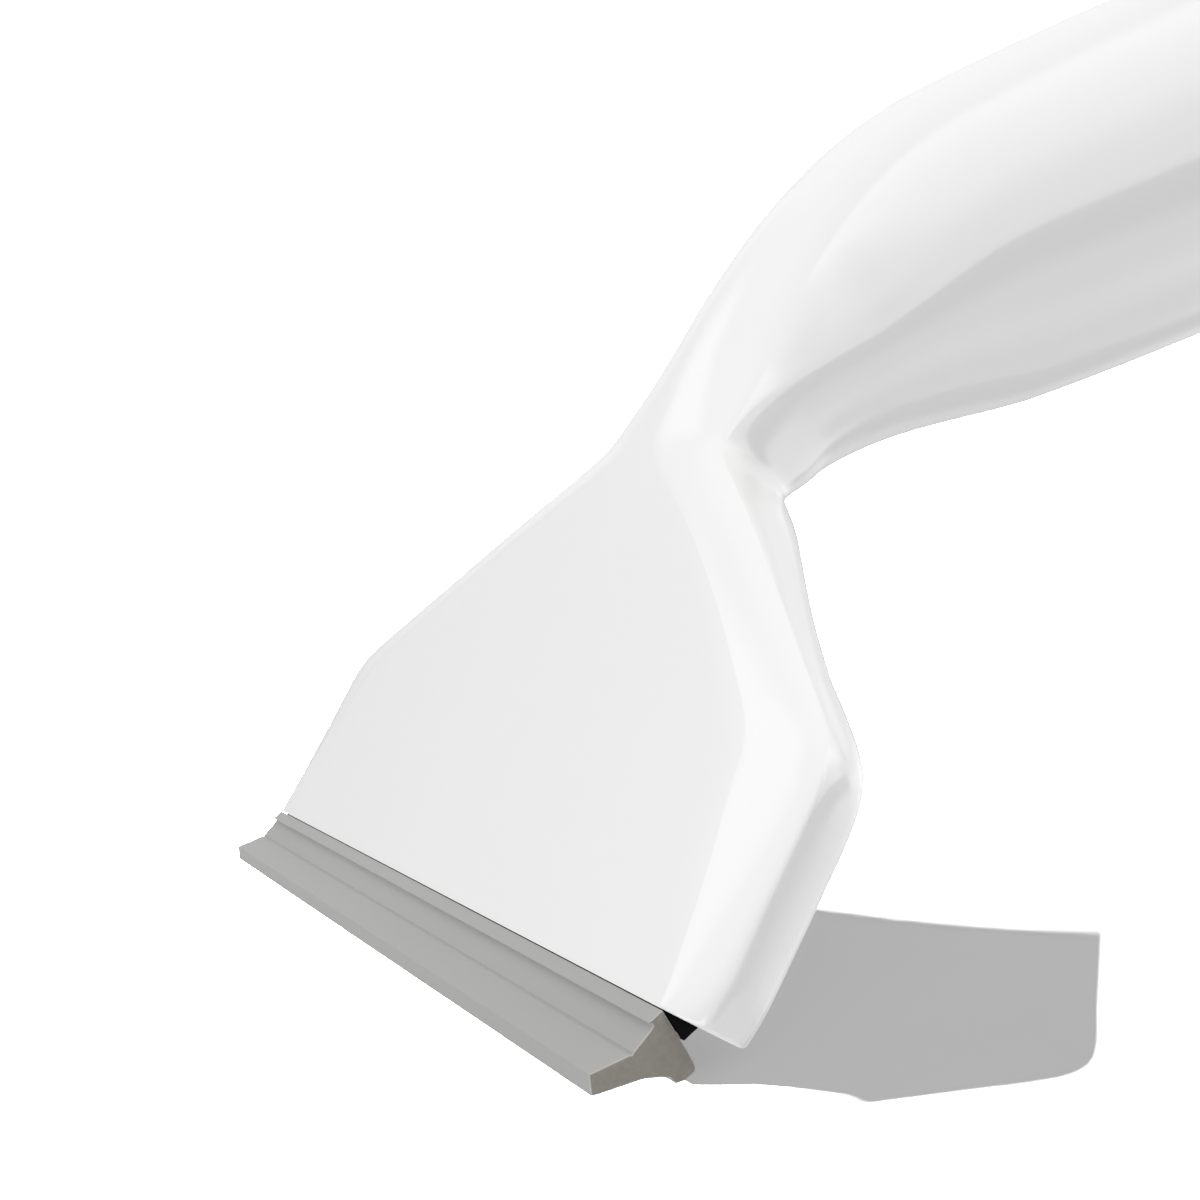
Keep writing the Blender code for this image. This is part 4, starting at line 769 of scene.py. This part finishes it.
def bulb_arc(radius, half_rib):
    """Arc of the blade's bulb, or of its groove, from the rib's lower side to its upper side."""
    centre = on_plate(BULB_HEIGHT, BULB_DEPTH)
    open_half = math.degrees(math.asin(half_rib / radius))
    foot = math.degrees(PLATE_LEAN) + 180.0
    return arc(centre, radius, foot + open_half, foot + 360.0 - open_half, BULB_STEPS)


def bulb_outline(half_rib, radius, reach):
    """Outline of the blade's rib and bulb, from a line reach in front of the blade's back."""
    return ([rib_on_back(BULB_DEPTH - half_rib, -reach), rib_on_back(BULB_DEPTH + half_rib, -reach)]
            + bulb_arc(radius, half_rib))


def make_blade():
    """Rubber with its rib and bulb, the rib trimmed where the rail's ends are closed."""
    corners = [rib_on_back(BULB_DEPTH - RIB_HALF_THICKNESS, 0.0)]
    corners += [(a * MM, n * MM) for a, n in BLADE_OUTLINE]
    corners.append(rib_on_back(BULB_DEPTH + RIB_HALF_THICKNESS, 0.0))
    outline = rounded_outline(corners, PROFILE_CORNER) + bulb_arc(BULB_RADIUS, RIB_HALF_THICKNESS)
    blade = extruded("blade_rubber", [outline], BLADE_LENGTH, ACROSS, BLADE_EDGE)
    behind = [(blade_back(n) + 0.02 * MM, n) for n in (MM, -CARRIER_TOE)]
    behind += [(a + CARRIER_TOE, n) for a, n in reversed(behind)]
    trims = [extruded("trim", [behind], 2 * (GROOVE_END + SEAT_GAP),
                      ACROSS @ Matrix.Translation((0.0, 0.0, side * 0.5 * BLADE_LENGTH)))
             for side in (-1, 1)]
    combine(blade, trims)
    dress(blade, "head", "blade_rubber", ["rubber_blade"], sharp=40.0)


def make_carrier():
    gap = SEAT_GAP
    outline = [on_plate(-gap, 3 * gap), on_plate(-gap, BLADE_TONGUE_FRONT),
               on_plate(CARRIER_TONGUE_HEIGHT, BLADE_TONGUE_FRONT),
               on_plate(CARRIER_TONGUE_HEIGHT, BLADE_TONGUE_BACK),
               on_plate(-gap, BLADE_TONGUE_BACK),
               on_plate(-0.8 * MM, BLADE_TONGUE_BACK - 0.3 * MM),
               (blade_back(-CARRIER_TOE) + gap, -CARRIER_TOE)]
    outline = rounded_outline([tuple(point) for point in outline], PROFILE_CORNER)
    carrier = extruded("carrier_rail", [outline], BLADE_LENGTH, ACROSS, CARRIER_EDGE)
    groove = extruded("groove", [bulb_outline(RIB_HALF_THICKNESS + gap, BULB_RADIUS + gap, MM)],
                      BLADE_LENGTH - 2 * GROOVE_END, ACROSS)
    holes = [rod("cut_hole", SCREW_RADIUS + SEAT_GAP, 2 * (PLATE_THICKNESS - BULB_DEPTH + SEAT_GAP),
                 at_plate(x, CARRIER_SCREW_HEIGHT, PLATE_THICKNESS))
             for x in CARRIER_SCREW_PLACES]
    combine(carrier, [groove] + holes)
    dress(carrier, "head", "carrier_black", ["blade_carrier"])


def make_bush():
    guide = TUBE_RADIUS + CUT_GAP
    body = BORE_RADIUS - 0.5 * CUT_GAP
    flange = MOUTH_RADIUS - MOUTH_ROUNDING
    insert = BUSH_INSERT + SEAT_GAP
    nose = insert + FLANGE_THICKNESS
    profile = [(guide, 0.0), (body, 0.0), (body, insert), (flange, insert), (flange, nose),
               (NOSE_RADIUS, nose)]
    for k in range(2):
        z = nose + 0.8 * MM + k * THREAD_PITCH
        profile += [(NOSE_RADIUS, z), (NOSE_RADIUS + THREAD_DEPTH, z + 0.3 * THREAD_PITCH),
                    (NOSE_RADIUS + THREAD_DEPTH, z + 0.5 * THREAD_PITCH),
                    (NOSE_RADIUS, z + 0.8 * THREAD_PITCH)]
    ring = nose + NOSE_LENGTH - RING_WIDTH - RING_SETBACK
    ring_end = ring + RING_WIDTH + SEAT_GAP
    groove = NOSE_RADIUS - THREAD_DEPTH
    profile += [(NOSE_RADIUS, ring - SEAT_GAP), (groove, ring - SEAT_GAP), (groove, ring_end),
                (NOSE_RADIUS, ring_end), (NOSE_RADIUS, nose + NOSE_LENGTH),
                (guide, nose + NOSE_LENGTH)]
    bush = turned("bush_of_mouth", MOUTH_PLACE - BUSH_INSERT, profile)
    dress(bush, "head", "guide_plastic", ["mouth_bush"], FINE_EDGE)


def collar_profile():
    """Section of the twist collar: lip, seal groove, cone over the collet and thread side."""
    inner = NOSE_RADIUS + THREAD_DEPTH + CUT_GAP
    nose_end = NOSE_LENGTH - CUT_GAP
    ring = nose_end - RING_WIDTH - RING_SETBACK
    ring_end = ring + RING_WIDTH + SEAT_GAP
    ring_groove = inner + 0.4 * MM + CUT_GAP
    cone_start = nose_end + CUT_GAP
    cone_end = cone_start + COLLET_LENGTH + CUT_GAP
    lip = TUBE_RADIUS + 3 * CUT_GAP
    seal = COLLAR_LENGTH - COLLAR_LIP + 0.5 * (COLLAR_LIP - SEAL_WIDTH) + 0.2 * MM
    seal_end = seal + SEAL_WIDTH + SEAT_GAP
    seal_groove = lip + 1.2 * MM
    band_end = BAND_START + BAND_LENGTH
    chamfer = 1.0 * MM
    front, back = COLLAR_RADIUS - 0.6 * MM, COLLAR_RADIUS - 1.6 * MM
    groove = COLLAR_RADIUS - BAND_DEPTH
    return [(front - chamfer, 0.0), (front, chamfer), (front, BAND_START), (groove, BAND_START),
            (groove, band_end), (front, band_end), (front, COLLAR_LENGTH - 3 * MM),
            (back, COLLAR_LENGTH - chamfer), (back - chamfer, COLLAR_LENGTH),
            (lip, COLLAR_LENGTH), (lip, seal_end), (seal_groove, seal_end),
            (seal_groove, seal - SEAT_GAP), (lip, seal - SEAT_GAP), (lip, cone_end),
            (COLLET_END_RADIUS + CUT_GAP, cone_end), (COLLET_RADIUS + CUT_GAP, cone_start),
            (inner, cone_start), (inner, ring_end), (ring_groove, ring_end),
            (ring_groove, ring - SEAT_GAP), (inner, ring - SEAT_GAP), (inner, 0.0)]


def make_collar():
    collar = turned("collar_shell", COLLAR_START, collar_profile())
    dress(collar, "collar", "gloss_white", ["twist_collar"], EDGE)


def make_collar_band():
    """Soft band with rounded ribs along the handle."""
    inner = COLLAR_RADIUS - BAND_DEPTH + SEAT_GAP
    count = 12 * BAND_RIBS
    ribbed = []
    for k in range(count):
        angle = 2 * math.pi * k / count
        radius = COLLAR_RADIUS - BAND_RIB_DEPTH + BAND_RIB_DEPTH * math.cos(BAND_RIBS * angle)
        ribbed.append((radius * math.cos(angle), radius * math.sin(angle)))
    hole = arc((0.0, 0.0), inner, 0.0, 360.0 * (ROUND_STEPS - 1) / ROUND_STEPS, ROUND_STEPS - 1)
    middle = COLLAR_START + BAND_START + 0.5 * BAND_LENGTH
    band = extruded("band_of_collar", [ribbed, hole], BAND_LENGTH - 2 * SEAT_GAP,
                    on_handle(middle) @ Matrix.Rotation(-0.5 * math.pi, 4, "X"), EDGE)
    dress(band, "collar", "soft_grip", ["collar_band"])


def pin_hole(radius, place, length=4 * GRIP_RADIUS):
    return rod("cut_pin", radius + SEAT_GAP, length, across_handle(place))


def make_tube():
    length = TUBE_END - TUBE_START
    inner = TUBE_RADIUS - TUBE_WALL
    tube = turned("tube_of_handle", TUBE_START, [(inner, 0.0), (TUBE_RADIUS, 0.0),
                                                 (TUBE_RADIUS, length), (inner, length)])
    combine(tube, [pin_hole(PIN_RADIUS, place, 4 * TUBE_RADIUS)
                   for place in (PLUG_PIN_PLACE, GRIP_PIN_PLACE)])
    dress(tube, "handle", "aluminium", ["extension_tube"])


def make_grip_core():
    inner = TUBE_RADIUS + SEAT_GAP
    edge = 1.5 * MM
    centre = (GRIP_FRONT_RADIUS - edge, edge)
    profile = [(inner, 0.0)] + arc(centre, edge, -90.0, 0.0, 8)
    profile += [(GRIP_FRONT_RADIUS, GRIP_FLANGE), (GRIP_CORE_RADIUS, GRIP_FLANGE),
                (GRIP_CORE_RADIUS, GRIP_LENGTH - GRIP_FLANGE),
                (GRIP_RADIUS, GRIP_LENGTH - GRIP_FLANGE)]
    centre = (GRIP_RADIUS - TAIL_ROUNDING, GRIP_LENGTH - TAIL_ROUNDING)
    profile += arc(centre, TAIL_ROUNDING, 0.0, 90.0, 8)
    seat = TUBE_END - GRIP_START + SEAT_GAP
    spigot_gap = TUBE_RADIUS - TUBE_WALL
    profile += [(spigot_gap, GRIP_LENGTH), (spigot_gap, seat), (inner, seat)]
    core = turned("core_of_grip", GRIP_START, profile)
    combine(core, [pin_hole(PIN_RADIUS, GRIP_PIN_PLACE)])
    dress(core, "handle", "gloss_white", ["grip_core"], FINE_EDGE)


def make_grip_sleeve():
    """Soft sleeve with shallow finger waves."""
    start = GRIP_FLANGE + SEAT_GAP
    length = GRIP_LENGTH - 2 * start
    inner = GRIP_CORE_RADIUS + SEAT_GAP
    count = 72
    profile = [(inner, length), (inner, 0.0)]
    for k in range(count + 1):
        share = k / count
        straight = GRIP_FRONT_RADIUS + (GRIP_RADIUS - GRIP_FRONT_RADIUS) * share
        wave = 0.5 * GRIP_WAVE * (1 - math.cos(2 * math.pi * GRIP_WAVES * share))
        profile.append((straight - 0.1 * MM - wave, length * share))
    sleeve = turned("sleeve_of_grip", GRIP_START + start, profile)
    dress(sleeve, "handle", "soft_grip", ["grip_sleeve"], EDGE)


def make_end_cap():
    radius = GRIP_RADIUS - TAIL_ROUNDING
    spigot = TUBE_RADIUS - TUBE_WALL - SEAT_GAP
    face = 0.62 * radius
    profile = [(0.0, -CAP_SPIGOT), (spigot, -CAP_SPIGOT), (spigot, 0.0), (radius, 0.0)]
    for k in range(1, 15):
        angle = 0.5 * math.pi * k / 14
        profile.append((face + (radius - face) * math.cos(angle), CAP_LENGTH * math.sin(angle)))
    profile.append((0.0, CAP_LENGTH))
    cap = turned("cap_of_grip", CAP_START, profile)
    cap_end = CAP_START + CAP_LENGTH
    pivot = LOOP_PIVOT - cap_end
    inside = 0.5 * LOOP_NECK_WIDTH + CUT_GAP
    ears = []
    for side in (-1, 1):
        outline = [(-2.0 * MM, -EAR_RADIUS)] + arc((pivot, 0.0), EAR_RADIUS, -90.0, 90.0, 24)
        outline.append((-2.0 * MM, EAR_RADIUS))
        middle = side * (inside + 0.5 * EAR_THICKNESS)
        place = ACROSS @ Matrix.Translation((cap_end, AXIS_HEIGHT, middle))
        ears.append(extruded("add_ear", [outline], EAR_THICKNESS, place, EDGE))
    combine(cap, ears, "UNION")
    combine(cap, [pin_hole(PIN_RADIUS, GRIP_PIN_PLACE), pin_hole(LOOP_PIN_RADIUS, LOOP_PIVOT)])
    dress(cap, "handle", "gloss_white", ["end_cap"])


def make_loop_pin():
    half = 0.5 * LOOP_NECK_WIDTH + CUT_GAP + EAR_THICKNESS
    rise = [(0.2 * k, LOOP_PIN_DOME * (0.2 * k) ** 2) for k in range(6)]
    profile = [(LOOP_PIN_RADIUS * share, -half + drop) for share, drop in rise]
    profile += [(LOOP_PIN_RADIUS * share, half - drop) for share, drop in reversed(rise)]
    pin = turned("pin_of_loop", 0.0, profile, PIN_STEPS)
    pin.matrix_world = across_handle(LOOP_PIVOT) @ Matrix.Rotation(0.5 * math.pi, 4, "X")
    dress(pin, "handle", "steel", ["loop_pin"], FINE_EDGE)


def make_hang_loop():
    """Flat loop: a neck between the ears that widens into a ring."""
    neck = 0.5 * LOOP_NECK_WIDTH
    back = -(EAR_RADIUS - 0.3 * MM - 1.0 * MM)
    meet = math.degrees(math.asin(neck / LOOP_RADIUS))
    outline = [(neck, back)]
    outline += arc((0.0, LOOP_REACH), LOOP_RADIUS, -90.0 + meet, 270.0 - meet, 72)
    outline.append((-neck, back))
    hole = arc((0.0, LOOP_REACH), LOOP_HOLE_RADIUS, 0.0, 355.0, 71)
    loop = extruded("loop_for_hanging", [outline, hole], LOOP_THICKNESS, on_handle(LOOP_PIVOT),
                    LOOP_EDGE)
    combine(loop, [pin_hole(LOOP_PIN_RADIUS, LOOP_PIVOT, 2 * LOOP_NECK_WIDTH)])
    dress(loop, "loop", "soft_grip", ["hang_loop"])


def fill(tree, node, inputs):
    """Set each named input of a node, or link it where an output is given."""
    for name, value in inputs.items():
        if isinstance(value, bpy.types.NodeSocket):
            tree.links.new(value, node.inputs[name])
        else:
            node.inputs[name].default_value = value


def add_node(tree, kind, inputs, **settings):
    node = tree.nodes.new("ShaderNode" + kind)
    for name, value in settings.items():
        setattr(node, name, value)
    fill(tree, node, inputs)
    return node


def mix_colours(tree, share, first, second):
    """Colour between two others, each an output or its red, green and blue."""
    ends = [colour if isinstance(colour, bpy.types.NodeSocket) else (*colour, 1.0)
            for colour in (first, second)]
    inputs = {"Factor": share, "A": ends[0], "B": ends[1]}
    return add_node(tree, "Mix", inputs, data_type="RGBA").outputs["Result"]


def math_node(tree, operation, *values):
    inputs = dict(enumerate(values))
    return add_node(tree, "Math", inputs, operation=operation).outputs["Value"]


def smooth_step(tree, value, low, high, at_low, at_high):
    inputs = {"From Min": low, "From Max": high, "To Min": at_low, "To Max": at_high,
              "Value": value}
    return add_node(tree, "MapRange", inputs, interpolation_type="SMOOTHSTEP").outputs["Result"]


def make_material(name, colour, roughness, metallic=0.0, grain=0.0, grain_size=1.0, shade=0.0,
                  ior=1.5, sheen=0.0, cut=None):
    """Surface with a fine bump, and slow changes of roughness and shade over it."""
    material = bpy.data.materials.new(name)
    material.use_nodes = True
    tree = material.node_tree
    shader = tree.nodes["Principled BSDF"]
    places = tree.nodes.new("ShaderNodeTexCoord").outputs
    slow = add_node(tree, "TexNoise", {"Scale": SLOW_SCALE, "Detail": 3.0,
                                       "Vector": places["Object"]}).outputs["Fac"]
    rough = add_node(tree, "MapRange", {"To Min": SPREAD[0] * roughness,
                                        "To Max": SPREAD[1] * roughness, "Value": slow})
    tint = mix_colours(tree, slow, [c * (1.0 - shade) for c in colour],
                       [min(c * (1.0 + shade), 1.0) for c in colour])
    # The ends' colours: a painted highlight on their rims and a darker mottled face
    if cut:
        tint = colour_ends_with_rim_highlight(tree, places, tint, *cut)
    fill(tree, shader, {"Metallic": metallic, "IOR": ior, "Sheen Weight": sheen,
                        "Roughness": rough.outputs["Result"], "Base Color": tint})
    if grain:
        fine = add_node(tree, "TexNoise", {"Scale": 1.0 / (grain_size * MM), "Detail": 4.0,
                                           "Vector": places["Object"]})
        bump = add_node(tree, "Bump", {"Strength": 1.0, "Distance": grain * MM,
                                       "Height": fine.outputs["Fac"]})
        fill(tree, shader, {"Normal": bump.outputs["Normal"]})
    return material


def colour_ends_with_rim_highlight(tree, places, whole, rim, face):
    """Painted highlight on the rims of a strip's ends, and a mottled darker face where it is cut
    square to X.
    """
    split = add_node(tree, "SeparateXYZ", {"Vector": places["Normal"]})
    endwise = math_node(tree, "ABSOLUTE", split.outputs["X"])
    mottle = add_node(tree, "TexNoise", {"Scale": MOTTLE_SCALE, "Vector": places["Object"]})
    patch = mix_colours(tree, mottle.outputs["Fac"], *[[k * c for c in face] for k in SPREAD])
    # The first, paler colour is a painted highlight on the rounded rims; the second darkens the
    # faces square to X
    for low, high, colour in ((0.15, 0.45, rim), (0.8, 0.98, patch)):
        share = smooth_step(tree, endwise, low, high, 0.0, 1.0)
        whole = mix_colours(tree, share, whole, colour)
    return whole


def dress_inner_nodes():
    """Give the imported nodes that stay, all inside the handle, their materials."""
    for node, slot in (("retaining_ring", "steel"), ("collet", "guide_plastic"),
                       ("tube_seal", "seal_rubber"), ("guide_plug", "guide_plastic"),
                       ("plug_pin", "steel"), ("stop_bumper", "seal_rubber"),
                       ("grip_pin", "steel")):
        item = bpy.data.objects[node]
        item.data.materials.clear()
        item.data.materials.append(MATERIALS[slot])


def make_camera():
    data = bpy.data.cameras.new("camera")
    data.lens = CAMERA_LENS
    data.sensor_width = CAMERA_SENSOR
    data.clip_start = CAMERA_NEAR
    turn = Matrix.Identity(4)
    for axis, angle in zip("XYZ", CAMERA_TURN):
        turn = Matrix.Rotation(math.radians(angle), 4, axis) @ turn
    place = TOOL @ Matrix.Translation(CAMERA_PLACE) @ turn
    bpy.context.scene.camera = new_object("camera", data, place)


def hide_from_all_but_camera(item):
    """Keep a stage object's own light off the tool: the world alone lights the tool."""
    for rays in ("diffuse", "glossy", "transmission", "shadow"):
        setattr(item, "visible_" + rays, False)


def make_floor():
    bm = bmesh.new()
    bmesh.ops.create_grid(bm, x_segments=1, y_segments=1, size=FLOOR_REACH)
    floor = new_object("floor", mesh_from(bm, "floor"), Matrix.Identity(4))
    paper = make_material("floor_paper", FLOOR_COLOUR, 0.9)
    fill(paper.node_tree, paper.node_tree.nodes["Principled BSDF"],
         {"Emission Color": WHITE, "Emission Strength": FLOOR_GLOW})
    floor.data.materials.append(paper)
    hide_from_all_but_camera(floor)
    make_floor_suns(floor)


def make_backdrop():
    """White dome round the floor, so that the background is white from every side."""
    bm = bmesh.new()
    bmesh.ops.create_uvsphere(bm, u_segments=48, v_segments=24, radius=BACKDROP_RADIUS)
    backdrop = new_object("backdrop", mesh_from(bm, "backdrop"), Matrix.Identity(4))
    material = bpy.data.materials.new("backdrop_white")
    material.use_nodes = True
    fill(material.node_tree, material.node_tree.nodes["Principled BSDF"],
         {"Base Color": BLACK, "Specular IOR Level": 0.0, "Emission Color": WHITE,
          "Emission Strength": BACKDROP_LIGHT})
    backdrop.data.materials.append(material)
    hide_from_all_but_camera(backdrop)


def make_floor_suns(floor):
    """Suns that light only the floor; where the tool hides all of them the shadow is grey."""
    receivers = bpy.data.collections.new("floor_only")
    receivers.objects.link(floor)
    for number, (azimuth, elevation) in enumerate(FLOOR_SUNS, 1):
        data = bpy.data.lights.new(f"floor_sun_{number}", "SUN")
        data.energy = math.pi * SUN_LIGHT / (FLOOR_COLOUR[0] * math.sin(math.radians(elevation)))
        data.angle = math.radians(SUN_ANGLE)
        lamp = new_object(data.name, data, Matrix.Identity(4))
        lamp.rotation_euler = (0.0, math.radians(90.0 - elevation), math.radians(azimuth))
        lamp.light_linking.receiver_collection = receivers


def add_panel(tree, around, elevation, light, panel):
    """Lay a soft-edged panel over the studio's light, measured in degrees round the tool."""
    azimuth, half_width, side_blur, low, low_blur, high, high_blur, strength = panel
    turn = add_node(tree, "VectorRotate", {"Angle": -math.radians(azimuth), "Vector": around},
                    rotation_type="Z_AXIS")
    split = add_node(tree, "SeparateXYZ", {"Vector": turn.outputs["Vector"]})
    angle = math_node(tree, "ARCTAN2", split.outputs["Y"], split.outputs["X"])
    aside = math_node(tree, "DEGREES", math_node(tree, "ABSOLUTE", angle))
    inside = smooth_step(tree, aside, half_width - side_blur, half_width + side_blur, 1.0, 0.0)
    over = smooth_step(tree, elevation, low - low_blur, low + low_blur, 0.0, 1.0)
    under = smooth_step(tree, elevation, high - high_blur, high + high_blur, 1.0, 0.0)
    share = math_node(tree, "MULTIPLY", math_node(tree, "MULTIPLY", inside, over), under)
    return add_node(tree, "Mix", {"Factor": share, "A": light, "B": strength}).outputs["Result"]


def make_world():
    """Plain studio: even light from all round with a few large soft panels and dark screens."""
    world = bpy.data.worlds.new("studio")
    world.use_nodes = True
    tree = world.node_tree
    around = tree.nodes.new("ShaderNodeTexCoord").outputs["Generated"]
    split = add_node(tree, "SeparateXYZ", {"Vector": around})
    elevation = math_node(tree, "DEGREES", math_node(tree, "ARCSINE", split.outputs["Z"]))
    below, level, above = ROOM_LIGHT
    up = smooth_step(tree, elevation, 0.0, 90.0, level, above)
    down = smooth_step(tree, elevation, -90.0, 0.0, below - level, 0.0)
    light = math_node(tree, "ADD", up, down)
    for panel in PANELS:
        light = add_panel(tree, around, elevation, light, panel)
    fill(tree, tree.nodes["Background"], {"Color": WHITE, "Strength": light})
    bpy.context.scene.world = world


# How coarse a material's slow changes and the cut rubber's mottle are, and how far they go
SLOW_SCALE = 40.0
MOTTLE_SCALE = 1.0 / (0.7 * MM)
SPREAD = (0.85, 1.15)

# Floor, dome and suns; a sun's place is its azimuth and elevation in degrees
WHITE = (1.0, 1.0, 1.0, 1.0)
BLACK = (0.0, 0.0, 0.0, 1.0)
FLOOR_REACH = 6.0
BACKDROP_RADIUS = 5.5
FLOOR_COLOUR = (0.06, 0.06, 0.06)
FLOOR_GLOW = 0.355
BACKDROP_LIGHT = 1.15
SUN_LIGHT = 0.7
SUN_ANGLE = 0.6
FLOOR_SUNS = ((202.3, 5.2), (173.5, 9.2), (170.3, 24.8))

# The room's brightness straight below, level and straight above
ROOM_LIGHT = (1.05, 0.6, 1.01)
# Azimuth, half-width and side blur, lower edge and its blur, upper edge and its blur, all in
# degrees, then brightness
PANELS = (
    (76.9, 57.8, 7.2, 4.8, 5.0, 95.0, 5.0, 1.68),
    (138.7, 35.1, 10.2, -3.5, 3.8, 95.0, 5.0, 0.94),
    (-88.4, 34.8, 6.6, -6.6, 6.9, 21.8, 4.1, 2.3),
    (91.9, 52.9, 9.8, -60.2, 4.3, -13.5, 8.0, 1.36),
    (48.0, 31.0, 3.0, -5.2, 1.5, 25.6, 8.4, 1.25),
    (-7.5, 27.5, 2.0, -26.5, 5.6, 12.0, 8.0, 0.05),
    (42.3, 44.7, 5.9, -25.7, 7.6, -6.5, 1.5, 0.0),
    (156.9, 28.0, 8.0, -85.9, 2.8, -39.9, 11.9, 0.37),
    (103.5, 33.5, 3.4, -92.0, 1.0, -64.2, 2.2, 0.75),
    (-167.0, 13.5, 5.0, 22.8, 2.9, 38.3, 4.2, 1.15),
    (170.0, 15.1, 6.2, -38.9, 5.0, -18.4, 5.0, 0.62),
    (-10.2, 25.3, 5.0, 24.0, 5.0, 59.8, 6.0, 0.82),
)

# Slot, name, colour, roughness, metallic, depth and size of the grain in millimetres and shade,
# then, where they aren't the usual, index of refraction, sheen and the colours of the ends: a
# painted highlight on their rims, then their face
MATERIALS = {slot: make_material(*row) for slot, *row in (
    ("gloss_white", "gloss_white_plastic", (0.87, 0.875, 0.868), 0.07, 0.0, 0.0006, 2.0, 0.004,
     1.8),
    ("cover_white", "cover_white_plastic", (0.86, 0.865, 0.858), 0.3, 0.0, 0.006, 0.35, 0.006),
    ("steel", "plain_steel", (0.62, 0.62, 0.63), 0.28, 1.0, 0.002, 0.2, 0.03),
    # Grey rubber whose ends get two colours: a painted highlight on their rims, then a darker face
    ("blade_rubber", "grey_rubber", (0.37, 0.372, 0.365), 0.5, 0.0, 0.004, 0.3, 0.02, 1.5, 0.0,
     ((0.5, 0.485, 0.455), (0.29, 0.27, 0.243))),
    ("carrier_black", "black_plastic", (0.006, 0.006, 0.007), 0.5, 0.0, 0.004, 0.3, 0.1, 1.15),
    ("soft_grip", "soft_grip_rubber", (0.10, 0.105, 0.11), 0.6, 0.0, 0.02, 0.4, 0.03, 1.5, 0.1),
    ("seal_rubber", "seal_black_rubber", (0.012, 0.012, 0.013), 0.6, 0.0, 0.004, 0.3, 0.1),
    ("aluminium", "satin_aluminium", (0.78, 0.79, 0.80), 0.26, 1.0, 0.0015, 0.15, 0.02),
    ("guide_plastic", "natural_nylon", (0.70, 0.70, 0.67), 0.4, 0.0, 0.003, 0.4, 0.01),
)}

for make in (make_body, make_head_cover, make_screws, make_blade, make_carrier, make_bush,
             make_collar, make_collar_band, make_tube, make_grip_core, make_grip_sleeve,
             make_end_cap, make_loop_pin, make_hang_loop, dress_inner_nodes, make_camera,
             make_floor, make_backdrop, make_world):
    make()
bpy.context.scene.view_settings.view_transform = "Standard"
